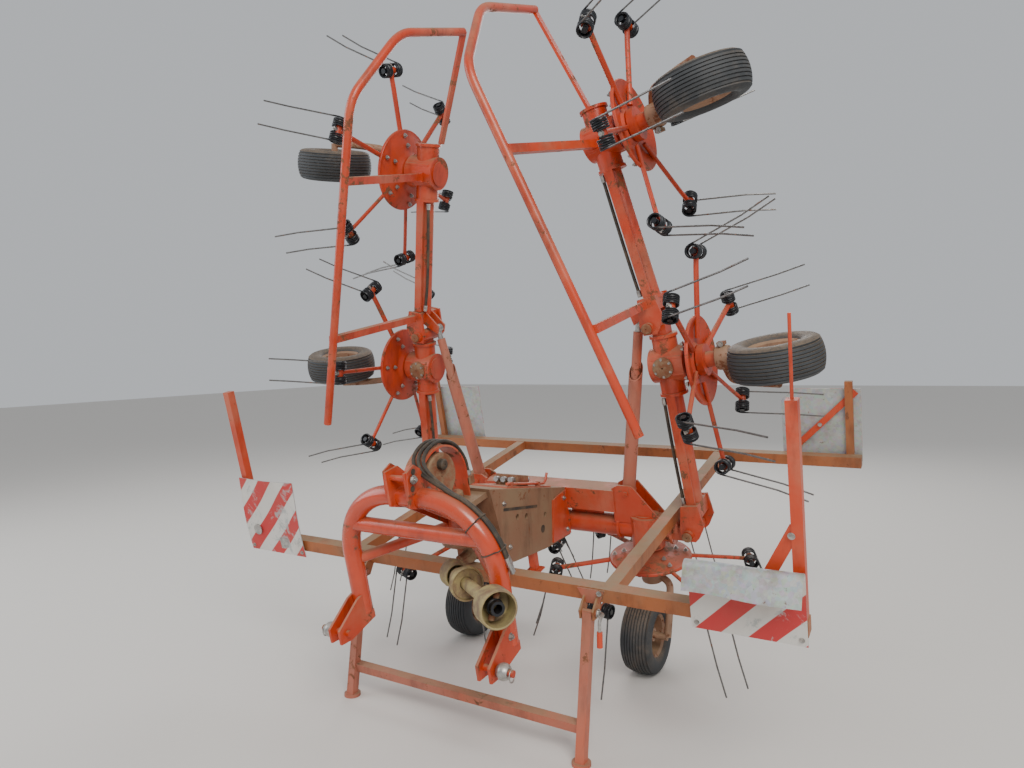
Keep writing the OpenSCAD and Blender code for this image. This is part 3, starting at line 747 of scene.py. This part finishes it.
class TEDDER_OT_wheels(Operator):
    """Build the six ribbed tyres on their steel rims"""

    bl_idname = "tedder.wheels"
    bl_label = "Wheels"

    def execute(self, context):
        for side in SIDES:
            for row in ROWS:
                self.wheel(side, row)
        return {"FINISHED"}

    def wheel(self, side, row):
        size = settings().wheel
        half = size.width / 2
        shape = Shape()
        shape.revolve(self.tyre_outline(size), "tyre", 72)
        bed = [(size.rim - 0.006, 0.62 * half), (size.rim + 0.01, 0.8 * half),
               (size.rim + 0.012, 0.74 * half), (size.rim, 0.55 * half)]
        dish = [(size.rim - 0.006, -0.01), (0.066, -0.004), (0.03, -0.004),
                (0.03, -0.012), (0.062, -0.012), (0.078, -0.03)]
        shape.revolve(dish[3:] + [(r, -h) for r, h in bed] + bed[::-1] + dish[:3], "leg")
        hub = [(0.0185, 0.04), (0.034, 0.04), (0.036, 0.034)]
        shape.revolve([(r, -h) for r, h in hub] + hub[::-1], "leg", 32)
        for spot in circle(0.05, 5, -0.012 * Z):
            shape.bolt(spot, -Z, 0.008, 0.009)
        roll, spin = JOINTS[f"wheel_roll_{row}_{side}"], JOINTS[f"rotor_spin_{row}_{side}"]
        place = axes_matrix(roll["pos_m"], spin["axis"], roll["axis"])
        node = f"wheel_{row}_{side}"
        fit(shape.build(node + "_dressed", place), node, node)

    def tyre_outline(self, size):
        """Rounded shoulders and a tread of ribs that run round the tyre, as (radius, height) pairs."""
        half = size.width / 2
        shoulder = [(size.rim, 0.62 * half), (size.rim + 0.01, 0.86 * half), (0.132, 0.98 * half),
                    (0.158, half), (0.176, 0.95 * half), (size.radius - 0.012, 0.84 * half)]
        tread = 0.76 * half
        pitch = 2 * tread / size.ribs
        ribs = []
        for k in range(size.ribs):
            for at, depth in ((0.1, 0.005), (0.17, 0), (0.83, 0), (0.9, 0.005)):
                across = -tread + (k + at) * pitch
                crown = 0.01 * (across / tread) ** 2
                ribs.append((size.radius - depth - crown, across))
        return [(r, -h) for r, h in shoulder] + ribs + shoulder[::-1]


class TEDDER_OT_boards(Operator):
    """Build the four warning boards, with the right front one folded over"""

    bl_idname = "tedder.boards"
    bl_label = "Warning boards"

    def execute(self, context):
        for side in SIDES:
            self.front(side, side == "r")
            self.rear(side, side == "r")
        return {"FINISHED"}

    def front(self, side, folded):
        shape = Shape()
        left = self.left(side)
        crease = FOLD_HEIGHT / BOARD if folded else 1.0

        def point(u, v, shift):
            if folded:
                dent = 0.006 * math.sin(7 * u) * math.sin(5 * v)
            else:
                dent = 0.01 * math.sin(5 * u + 2) * math.sin(4 * v)
            x, y = left + BOARD * u, FRONT_BOARD_Y - dent
            if v <= crease:
                return x, y + shift, FRONT_BOARD_LOW + BOARD * v
            # Past the crease the sheet turns forward and hangs over its own face
            run = BOARD * (v - crease)
            turn = min(run / FOLD_R, FOLD_TURN)
            rest = max(0.0, run - FOLD_R * FOLD_TURN)
            out = FOLD_R * (1 - math.cos(turn)) + rest * math.sin(turn) + 0.015 * u * min(1, 9 * rest)
            rise = FOLD_R * math.sin(turn) + rest * math.cos(turn)
            z = FRONT_BOARD_LOW + FOLD_HEIGHT + rise
            return x, y - out + shift * math.cos(turn), z + shift * math.sin(turn)

        shape.sheet(point, (16, 40), BOARD_T, "board", "zinc")
        # Spacer between the board and the rail behind it
        low, high = sorted(SIDES[side] * (FRAME_HALF - reach) for reach in (0.3, 0.24))
        shape.block((low, FRONT_BOARD_Y + 0.0025, 0.82), (high, RAIL_FRONT + 0.0002, 0.88), "steel")
        for u in (0.05, 0.95):
            shape.bolt(point(u, 0.06, 0), -Y, 0.008, 0.006)
        if not folded:
            reflector = axes_matrix(Vector(point(0.2, 0.3, 0)) - 0.001 * Y, X, -Y)
            shape.prism(circle(0.03, 32), 0, 0.006, "steel", reflector)
        self.fit_board(shape, "board_front_" + side)

    def rear(self, side, cut_corner):
        shape = Shape()
        left = self.left(side)
        cut = 0.07 if cut_corner else 0.0

        def point(u, v, shift):
            inset = max(0.0, v * BOARD - (BOARD - cut))
            dent = 0.004 * math.sin(6 * u) * math.sin(5 * v)
            return left + inset + (BOARD - inset) * u, REAR_BOARD_Y + shift + dent, REAR_BOARD_LOW + BOARD * v

        # The zinc back faces the tractor, the stripes face the road behind
        shape.sheet(point, (12, 24), BOARD_T, "zinc", "board")
        if cut_corner:
            brace_y = REAR_BOARD_Y - 0.009
            low, high = Vector((1.075, brace_y, 0.85)), Vector((1.455, brace_y, 1.24))
            shape.beam(low, high, X - Z, 0.034, 0.01, "post")
            shape.bolt(low.lerp(high, 0.5) - 0.008 * Y, -Y, 0.009, 0.008)
        self.fit_board(shape, "board_rear_" + side)

    def left(self, side):
        """Where the left edge of a board lies along X."""
        return FRAME_HALF - BOARD if side == "r" else -FRAME_HALF

    def fit_board(self, shape, node):
        fit(shape.build(node + "_dressed"), "chassis", node)


class TEDDER_OT_tubes(Operator):
    """Build the bent wheel legs and the guard bows with smooth bends"""

    bl_idname = "tedder.tubes"
    bl_label = "Bent tubes"

    def execute(self, context):
        for side in SIDES:
            for row in ROWS:
                self.leg(side, row)
            self.guard(side)
        return {"FINISHED"}

    def leg(self, side, row):
        shape = Shape()
        out = settings().wheel.width / 2 + 0.014 + LEG_R
        collar, bore, low = COLUMN_R + 0.016, COLUMN_R + FIT, 0.002 - COLUMN_DROP
        shape.revolve([(bore, low), (collar, low), (collar + 0.003, low + 0.01), (collar + 0.003, low + 0.05),
                       (collar, low + 0.06), (bore, low + 0.06)], "leg", 40)
        line = [(COLUMN_R + 0.008, 0, 0.03 - COLUMN_DROP), (out - 0.01, -0.02, 0.006 - COLUMN_DROP),
                (out, -0.6 * WHEEL_LEAD, 0.11 - WHEEL_DROP), (out, -WHEEL_LEAD, -WHEEL_DROP)]
        shape.tube(rounded(line, 0.09, 8), LEG_R, "leg", 16)
        axle = [(-0.046, -WHEEL_LEAD, -WHEEL_DROP), (out + 0.001, -WHEEL_LEAD, -WHEEL_DROP)]
        shape.tube(axle, LEG_R - 0.001, "leg", 20)
        # Clamp ears and bolt that close the collar on the column
        for x in (-collar - 0.022, -collar + 0.002):
            shape.block((x, -0.02, low + 0.012), (x + 0.016, 0.02, low + 0.048), "cast")
        shape.bolt((-collar - 0.014, -0.02, low + 0.03), -Y, 0.01, 0.01)
        node = f"leg_{row}_{side}"
        body = "chassis" if row == "center" else f"arm_{row}_{side}"
        flip = Matrix.Diagonal((-1, 1, 1, 1)) if row == "inner" else Matrix()
        fit(shape.build(node + "_dressed", gear_matrix(side, row) @ flip), body, node)

    def guard(self, side):
        shape = Shape()
        gear = GEAR_ALONG["outer"]
        bow = [(-0.35, -0.73, -0.09), (1.23, -0.76, 0.11), (1.53, -0.45, 0.13), (1.6, 0.06, 0.125)]
        shape.tube(rounded(bow, 0.085, 8), 0.02, "paint", 18)
        shape.beam((1.604, 0.06, 0.128), (gear + CASE_HALF + 0.002, 0.06, 0.01), Y, 0.04, 0.014, "paint")
        for low, high in (((0.11, -0.108, -0.02), (0.11, -0.735, -0.05)),
                          ((gear - 0.02, -BODY_R - 0.0063, -0.02), (gear - 0.02, -0.752, 0.06))):
            shape.beam(low, high, X, 0.036, 0.03, "paint")
        low, high = (gear - 0.045, -BODY_R - 0.0123, -0.045), (gear + 0.005, -BODY_R - FIT, 0.005)
        shape.block(low, high, "paint")
        node = "guard_" + side
        piece = shape.build(node + "_dressed", arm_matrix(side, "outer"))
        fit(piece, "arm_outer_" + side, node)


class TEDDER_OT_drive_shaft(Operator):
    """Build the loose drive shaft with its ribbed cone, bell guards and yoke"""

    bl_idname = "tedder.drive_shaft"
    bl_label = "Drive shaft"

    def execute(self, context):
        shape = Shape()
        along = SHAFT_END - SHAFT_START
        place = axes_matrix(SHAFT_START, along.orthogonal(), along)
        self.guards(shape, place, along.length)
        self.free_end(shape, place @ Matrix.Translation(along.length * Z))
        shape.tube([SHAFT_START, (0, -0.945, 0.938)], 0.02, "cast", 16)
        fit(shape.build("pto_shaft_dressed"), "headstock", "pto_shaft")
        return {"FINISHED"}

    def guards(self, shape, place, length):
        """Bell and ribbed cone at the gearbox, and the guard tube along the shaft"""
        bell = [(0.024, -0.01), (0.056, -0.01), (0.062, 0.002), (0.062, 0.018), (0.052, 0.072),
                (0.048, 0.072), (0.057, 0.018), (0.054, -0.004), (0.024, -0.004)]
        shape.revolve(bell, "guard", 48, place)
        cone = [(0.028, 0.064)]
        for k in range(7):
            radius, foot = 0.036 + 0.005 * k, 0.07 + 0.016 * k
            cone += [(radius - 0.003, foot), (radius + 0.002, foot + 0.004), (radius + 0.002, foot + 0.01),
                     (radius - 0.002, foot + 0.014)]
        collar = [(0.073, 0.184), (0.073, 0.204), (0.066, 0.208), (0.062, 0.196), (0.028, 0.19)]
        shape.revolve(cone + collar, "guard", 48, place)
        tube = [(0.018, 0), (0.026, 0), (0.026, length - 0.1), (0.018, length - 0.1)]
        shape.revolve(tube, "guard", 32, place)

    def free_end(self, shape, place):
        """Bell guard at the free end, with the yoke and its two ears inside"""
        bell = [(0.026, -0.15), (0.04, -0.146), (0.046, -0.112), (0.07, -0.096), (0.076, -0.08),
                (0.076, -0.004), (0.073, 0), (0.067, 0), (0.066, -0.076), (0.026, -0.092)]
        shape.revolve(bell, "guard", 56, place)
        yoke = [(0.0175, -0.07), (0.03, -0.07), (0.033, -0.06), (0.033, -0.04),
                (0.028, -0.036), (0.028, -0.012), (0.0175, -0.012)]
        shape.revolve(yoke, "coil", 40, place)
        for turn in (0.4, 0.4 + math.pi):
            side = math.cos(turn) * X + math.sin(turn) * Y
            ear = [place @ (reach * side - 0.052 * Z) for reach in (0.024, 0.052)]
            shape.tube(ear, 0.013, "cast", 14)


class TEDDER_OT_headstock(Operator):
    """Fit the strap, link balls, pins, cap and hoses of the headstock"""

    bl_idname = "tedder.headstock"
    bl_label = "Headstock fittings"

    def execute(self, context):
        fittings, hoses = Shape(), Shape()
        self.strap(fittings)
        self.casting(fittings)
        self.top_link(fittings)
        for hand in (-1, 1):
            self.link_side(fittings, hand)
        fit(fittings.build("headstock_fittings"), "headstock")
        for number in range(3):
            self.hose(hoses, number)
        self.ties(hoses)
        fit(hoses.build("headstock_hoses"), "headstock")
        return {"FINISHED"}

    def strap(self, shape):
        """Strap hooped from between the cheek plates down to the upper lug"""
        middle_y, middle_z, hoop = -0.98, 1.33, 0.17
        first, straight = math.radians(165), 0.2

        def point(u, v, shift):
            turn = first * max(0.0, 1 - v / (1 - straight))
            drop = max(0.0, v - 1 + straight) / straight * (middle_z - LUG_TOP)
            y, z = middle_y + (hoop + shift) * math.cos(turn), middle_z + (hoop + shift) * math.sin(turn)
            return (2 * u - 1) * STRAP_HALF, y, z - drop

        shape.sheet(point, (4, 50), 0.008, "paint", "paint")

    def casting(self, shape):
        """Brown casting under the strap with a dark round cap, and the manifold behind it"""
        face = 0.0442
        body = [(0.004, 0), (0.098, 0), (0.104, 0.006), (0.104, 0.082), (0.098, 2 * face), (0.004, 2 * face)]
        shape.revolve(body, "cast", 48, axes_matrix((-face, -0.985, 1.375), Y, X))
        cap = [(0.004, 0), (0.024, 0), (0.024, 0.022), (0.018, 0.028), (0.004, 0.028)]
        shape.revolve(cap, "hose", 32, axes_matrix((face, -0.985, 1.432), Y, X))
        shape.block((-STRAP_HALF, -0.808, 1.262), (STRAP_HALF, -0.756, 1.3), "cast")

    def top_link(self, shape):
        """Outer plates of the top link with thin dark discs as painted shade in their holes, its pin's head
        and ring, and the swivel pin's cap
        """
        outline = [(-1.232, 1.385), (-1.226, 1.482), (-1.175, 1.5), (-1.14, 1.47), (-1.15, 1.385)]
        for hand, finish in ((-1, "rotor"), (1, "paint")):
            shape.plate(outline, hand * CHEEK_OUT, hand * (CHEEK_OUT + 0.008), finish)
            # Each hole is a thin dark disc on the plate: painted shade, not an opening
            for y, z in ((-1.206, 1.408), (-1.186, 1.474)):
                shape.tube([(hand * 0.0642, y, z), (hand * 0.0655, y, z)], 0.013, "hose", 20)
        shape.bolt(TOP_LINK, X, 0.014, 0.012)
        shape.loop(circle(0.022, 20, Vector((-0.066, TOP_LINK.y, TOP_LINK.z - 0.016)), Z, Y), 0.003, "steel")
        cap = [(0.004, 0), (0.032, 0), (0.034, 0.006), (0.031, 0.03), (0.02, 0.038), (0.004, 0.038)]
        shape.revolve(cap, "cast", 40, Matrix.Translation((0, -0.85, 1.216)))

    def link_side(self, shape, hand):
        """Cheek bolts, and the ball of a lower link on its pin with the ring that keeps it there"""
        for y, z in ((-1.1, 1.36), (-1.02, 1.28), (-0.93, 1.16)):
            shape.bolt((hand * CHEEK_OUT, y, z), hand * X, 0.011, 0.009)
        ball = [(0.034 * math.cos(turn), 0.034 * math.sin(turn)) for turn in
                (math.radians(-48 + 12 * k) for k in range(9))]
        bore = LINK_R + CLEARANCE
        place = axes_matrix((hand * BALL_X, LINK_Y, LINK_Z), Y, hand * X)
        shape.revolve([(bore, -0.0253)] + ball + [(bore, 0.0253)], "steel", 40, place)
        ring = circle(0.02, 20, Vector((hand * RING_X, LINK_Y, LINK_Z - 0.012)), 1.2 * Z, Y)
        shape.loop(ring, 0.003, "steel")
        shape.bolt((hand * (ARCH_HALF + 0.034), ARCH_Y - 0.03, LINK_Z + 0.07), hand * X, 0.012, 0.01)

    def arch_point(self, turn, out):
        """A point on the round stretch of the arch's right leg, and the direction outwards there"""
        radial = math.cos(turn) * X + math.sin(turn) * Z
        return Vector((ARCH_HALF - ARCH_BEND, ARCH_Y, ARCH_TOP - ARCH_BEND)) + out * radial, radial

    def hose(self, shape, number):
        """One of three hoses over the strap and along the right leg of the arch, with its coupling"""
        reach = ARCH_R + HOSE_R + CLEARANCE
        x = HOSE_SPACING * (number - 1)
        lie = math.radians(12 + 21 * number)
        line = [(x, -0.77, 1.312), (x, -0.783, 1.385), (x, -0.835, 1.465), (x, -0.915, 1.512), (x, -1, 1.52),
                (x + 0.014, -1.08, 1.492), (x + 0.062, -1.12, 1.446)]
        for turn in range(72, 0, -12):
            spot, _ = self.arch_point(math.radians(turn), ARCH_BEND + reach * math.cos(lie))
            line.append(spot + reach * math.sin(lie) * Y)
        path = flowing(line)
        shape.tube(path, HOSE_R, "hose")
        end, ahead = path[-1], (path[-1] - path[-2]).normalized()
        shape.tube([end - 0.004 * ahead, end + 0.03 * ahead], 0.0115, "steel", 6)
        shape.tube([end + 0.028 * ahead, end + 0.062 * ahead], 0.009, "steel", 16)
        shape.tube([path[0] - 0.014 * Z, path[0] + 0.014 * Z], 0.0115, "steel", 6)

    def ties(self, shape):
        """Ties round the leg, pushed out where the hoses lie under them"""
        over_hoses, on_leg = 0.019, 0.002
        for turn in (44, 20):
            middle, radial = self.arch_point(math.radians(turn), ARCH_BEND)
            loop = []
            for degrees in range(-100, 260, 12):
                out = ARCH_R + (over_hoses if -30 < degrees < 85 else on_leg)
                angle = math.radians(degrees)
                loop.append(middle + out * (math.cos(angle) * radial + math.sin(angle) * Y))
            shape.loop(loop, 0.003, "hose")


class TEDDER_OT_drawbar(Operator):
    """Fit the slots and holes painted as dark shade, gussets, valves, lever and short leg of the drawbar"""

    bl_idname = "tedder.drawbar"
    bl_label = "Drawbar fittings"

    def execute(self, context):
        shape = Shape()
        for hand in (-1, 1):
            self.side(shape, hand)
        self.valves(shape)
        # Short leg under the right side, with its foot plate
        shape.block((0.0705, -0.44, 0.655), (0.1085, -0.405, 0.8), "post")
        shape.block((0.052, -0.47, 0.65), (0.126, -0.38, 0.658), "post")
        fit(shape.build("drawbar_fittings"), "chassis")
        return {"FINISHED"}

    def side(self, shape, hand):
        """Slot and hole as thin dark plates of painted shade, orange gusset at the rear edge and the bolts of
        one side plate
        """
        slope = math.radians(-19.7)
        middle = Vector((-0.52, 1.04))
        half_length = 0.16 * Vector((math.cos(slope), math.sin(slope)))
        half_width = 0.007 * Vector((-math.sin(slope), math.cos(slope)))
        slot = [middle + a * half_length + b * half_width for a, b in ((-1, -1), (1, -1), (1, 1), (-1, 1))]
        # The slot and the hole are not cut: thin dark plates on the side plate are painted shade
        for outline in (slot, circle(0.02, 24, Vector((-0.341, 0.849, 0)))):
            shape.plate(outline, hand * (DRAWBAR_HALF + 0.0002), hand * (DRAWBAR_HALF + 0.0015), "hose")
        gusset = [(-0.062, 0.7), (-0.062, 0.955), (-0.215, 0.955), (-0.262, 0.735)]
        shape.plate(gusset, hand * DRAWBAR_HALF, hand * GUSSET_OUT, "paint")
        for out, y, heights in ((GUSSET_OUT, -0.1, (0.92, 0.74)), (DRAWBAR_HALF, -0.66, (1.12, 0.9))):
            for z in heights:
                shape.bolt((hand * out, y, z), hand * X, 0.01, 0.008)

    def valves(self, shape):
        """Plate along the sloping top with three spools, and the lever beside them"""
        slope = math.atan2(0.965 - 1.232, 0.76 - 0.06)
        top = Matrix.Translation((0, -0.4, 1.0947)) @ Matrix.Rotation(slope, 4, "X")
        shape.block((-0.1, -0.2, 0), (0.1, 0.24, 0.008), "strut", top)
        shape.block((-0.06, -0.05, 0.008), (0.07, 0.05, 0.06), "cast", top)
        for k in range(3):
            x = -0.04 + 0.042 * k
            shape.tube([top @ Vector((x, y, 0.036)) for y in (-0.085, 0.085)], 0.014, "steel", 16)
        lever = [top @ Vector((0.085, y, z)) for y, z in ((-0.18, 0.02), (0.2, 0.02), (0.215, 0.075))]
        shape.tube(rounded(lever, 0.03), 0.007, "post", 10)
        for y in (-0.15, 0.12):
            shape.block((0.072, y, 0.008), (0.098, y + 0.012, 0.03), "strut", top)


class TEDDER_OT_arm_fittings(Operator):
    """Fit the gear covers, bolts, hinge caps and hoses of the arms"""

    bl_idname = "tedder.arm_fittings"
    bl_label = "Arm fittings"

    def execute(self, context):
        for side in SIDES:
            for row in GEAR_ALONG:
                shape = Shape()
                self.covers(shape, row)
                self.hinge_caps(shape)
                self.hose(shape, GEAR_ALONG[row] - CASE_HALF - 0.03)
                piece = shape.build(f"arm_fittings_{row}_{side}", arm_matrix(side, row))
                fit(piece, f"arm_{row}_{side}")
        return {"FINISHED"}

    def covers(self, shape, row):
        """Bolted covers on the gear body; the outer one has its guard's pad on the front"""
        cover = [(0.004, -0.02), (0.05, -0.02), (0.05, 0.006), (0.03, 0.012), (0.004, 0.012)]
        for hand in (-1, 1) if row == "inner" else (1,):
            place = axes_matrix((GEAR_ALONG[row], hand * (BODY_R + 0.001), -GEAR_BELOW), X, hand * Y)
            shape.revolve(cover, "cast", 32, place)
            for spot in circle(0.041, 6, 0.006 * Z):
                shape.bolt(place @ spot, hand * Y, 0.006, 0.005)

    def hinge_caps(self, shape):
        """Brown caps at the ends of the hinge pin at the arm's foot"""
        cap = [(0.003, 0), (0.024, 0), (0.026, 0.004), (0.02, 0.01), (0.003, 0.01)]
        for hand in (-1, 1):
            shape.revolve(cap, "cast", 28, axes_matrix(hand * HINGE_PIN_END * Y, X, hand * Y))

    def hose(self, shape, reach):
        """Hydraulic hose laid along the arm, with a fitting at each end"""
        line = [(0.17, -0.046, 0.012), (0.3, -0.04, 0.016), (0.48, -0.04, 0.016), (reach, -0.044, 0.012)]
        path = flowing(line, 8)
        shape.tube(path, HOSE_R, "hose")
        for end, before in ((path[0], path[1]), (path[-1], path[-2])):
            ahead = (end - before).normalized()
            shape.tube([end - 0.01 * ahead, end + 0.022 * ahead], 0.011, "steel", 6)


class TEDDER_OT_stand(Operator):
    """Fit the post covers and plates of the front rail and the handle of the parking stand"""

    bl_idname = "tedder.stand"
    bl_label = "Stand and posts"

    def execute(self, context):
        self.posts()
        self.plates()
        self.handle()
        return {"FINISHED"}

    def posts(self):
        """Covers of the front posts, with the marker rod and the brace of the right one"""
        shape = Shape()
        for hand in (-1, 1):
            low, high = sorted(hand * (FRAME_HALF - inset) for inset in (POST_IN, POST_OUT))
            shape.block((low, POST_FRONT, POST_FOOT), (high, POST_BACK, POST_TOP), "post")
        middle = (POST_FRONT + POST_BACK) / 2
        rod = [(FRAME_HALF - 0.024, middle, 1.69), (FRAME_HALF - 0.02, middle, 1.99)]
        shape.tube(rod, 0.006, "post", 10)
        shape.beam((FRAME_HALF - 0.03, -0.845, 1.235), (1.262, -0.845, 0.87), X - Z, 0.045, 0.008, "post")
        shape.bolt((FRAME_HALF - 0.044, -0.8525, 1.205), -Y, 0.01, 0.009)
        fit(shape.build("post_covers"), "chassis")

    def plates(self):
        """Plates in front of the rail above the stand's legs, each with a bolt"""
        shape = Shape()
        outline = [(-0.062, 0.876), (-0.03, 0.812), (0.03, 0.812), (0.062, 0.876)]
        for middle in (-STAND_X, STAND_X):
            shape.prism(outline, 0, 0.008, "strut", axes_matrix((middle, RAIL_FRONT, 0), X, -Y))
            shape.bolt((middle + 0.036, RAIL_FRONT - 0.008, 0.862), -Y, 0.009, 0.008)
        fit(shape.build("stand_plates"), "chassis")

    def handle(self):
        """Cranked handle with its grip at the right end of the stand's axle, and a bolt at both ends"""
        shape = Shape()
        grip_x = STAND_AXLE.x + 0.033
        line = [STAND_AXLE, (grip_x, -0.915, 0.8), (grip_x, -0.96, 0.8), (grip_x, -0.975, 0.73)]
        shape.tube(rounded(line, 0.03), 0.007, "steel", 10)
        shape.tube([(grip_x, -0.97, 0.752), (grip_x, -0.984, 0.69)], 0.012, "post", 14)
        for hand in (-1, 1):
            shape.bolt((hand * STAND_AXLE.x, STAND_AXLE.y, STAND_AXLE.z), hand * X, 0.014, 0.01)
        fit(shape.build("stand_handle"), "stand")


class TEDDER_OT_stage(Operator):
    """Lay the floor, the soft lights and the camera"""

    bl_idname = "tedder.stage"
    bl_label = "Stage"

    def execute(self, context):
        self.floor()
        self.lights()
        self.camera()
        return {"FINISHED"}

    def floor(self):
        bpy.ops.mesh.primitive_plane_add(size=60)
        plane = bpy.context.active_object
        plane.name = "floor"
        plane.data.materials.append(Finish("Pale floor").finish((0.66, 0.63, 0.59), 0.9))

    def lights(self):
        world = bpy.data.worlds.new("Soft room")
        bpy.context.scene.world = world
        world.use_nodes = True
        back = world.node_tree.nodes["Background"]
        back.inputs["Color"].default_value = (0.86, 0.89, 0.93, 1)
        back.inputs["Strength"].default_value = 0.62
        aim = 1.4 * Z
        for name, spot, size, power, tint in (
            ("Key", (4.5, -5, 6), 4, 520, (1, 0.97, 0.92)),
            ("Fill", (-6, -3.5, 4), 5, 220, (0.93, 0.96, 1)),
            ("Back", (-2, 6, 5.5), 5, 260, (1, 1, 1)),
        ):
            lamp = bpy.data.lights.new(name, "AREA")
            lamp.size = size
            lamp.energy = power
            lamp.color = tint
            holder = placed(name, lamp)
            holder.location = spot
            holder.rotation_euler = (aim - Vector(spot)).to_track_quat("-Z", "Y").to_euler()

    def camera(self):
        view = settings().stage
        lens = bpy.data.cameras.new("Camera")
        lens.sensor_width = 36
        lens.lens = view.lens
        lens.clip_end = 200
        level = Vector((-math.sin(view.yaw), math.cos(view.yaw), 0))
        ahead = math.cos(view.pitch) * level + math.sin(view.pitch) * Z
        right = Vector((math.cos(view.yaw), math.sin(view.yaw), 0))
        tilted = math.cos(view.roll) * right + math.sin(view.roll) * right.cross(ahead)
        holder = placed("Camera", lens)
        holder.matrix_world = axes_matrix(view.eye, tilted, -ahead)
        bpy.context.scene.camera = holder


OPERATORS = (
    TEDDER_OT_stage, TEDDER_OT_finish_frame, TEDDER_OT_rotors, TEDDER_OT_wheels,
    TEDDER_OT_boards, TEDDER_OT_tubes, TEDDER_OT_drive_shaft, TEDDER_OT_headstock,
    TEDDER_OT_drawbar, TEDDER_OT_arm_fittings, TEDDER_OT_stand,
)


class TEDDER_PT_panel(Panel):
    """Lists the steps that dress the tedder"""

    bl_idname = "TEDDER_PT_panel"
    bl_label = "Tedder"
    bl_space_type = "VIEW_3D"
    bl_region_type = "UI"
    bl_category = "Tedder"

    def draw(self, context):
        for operator in OPERATORS:
            self.layout.operator(operator.bl_idname)
        tedder = context.scene.tedder
        for group in (tedder.colours, tedder.rotor, tedder.wheel, tedder.stage):
            box = self.layout.box()
            for name in group.bl_rna.properties.keys():
                if name not in ("rna_type", "name"):
                    box.prop(group, name)


CLASSES = (TedderColours, TedderRotor, TedderWheel, TedderStage, TedderSettings, *OPERATORS, TEDDER_PT_panel)


def register():
    for item in CLASSES:
        bpy.utils.register_class(item)
    bpy.types.Scene.tedder = PointerProperty(type=TedderSettings)


def unregister():
    del bpy.types.Scene.tedder
    for item in reversed(CLASSES):
        bpy.utils.unregister_class(item)


def main():
    register()
    for operator in OPERATORS:
        group, name = operator.bl_idname.split(".")
        getattr(getattr(bpy.ops, group), name)()


if __name__ == "__main__":
    main()
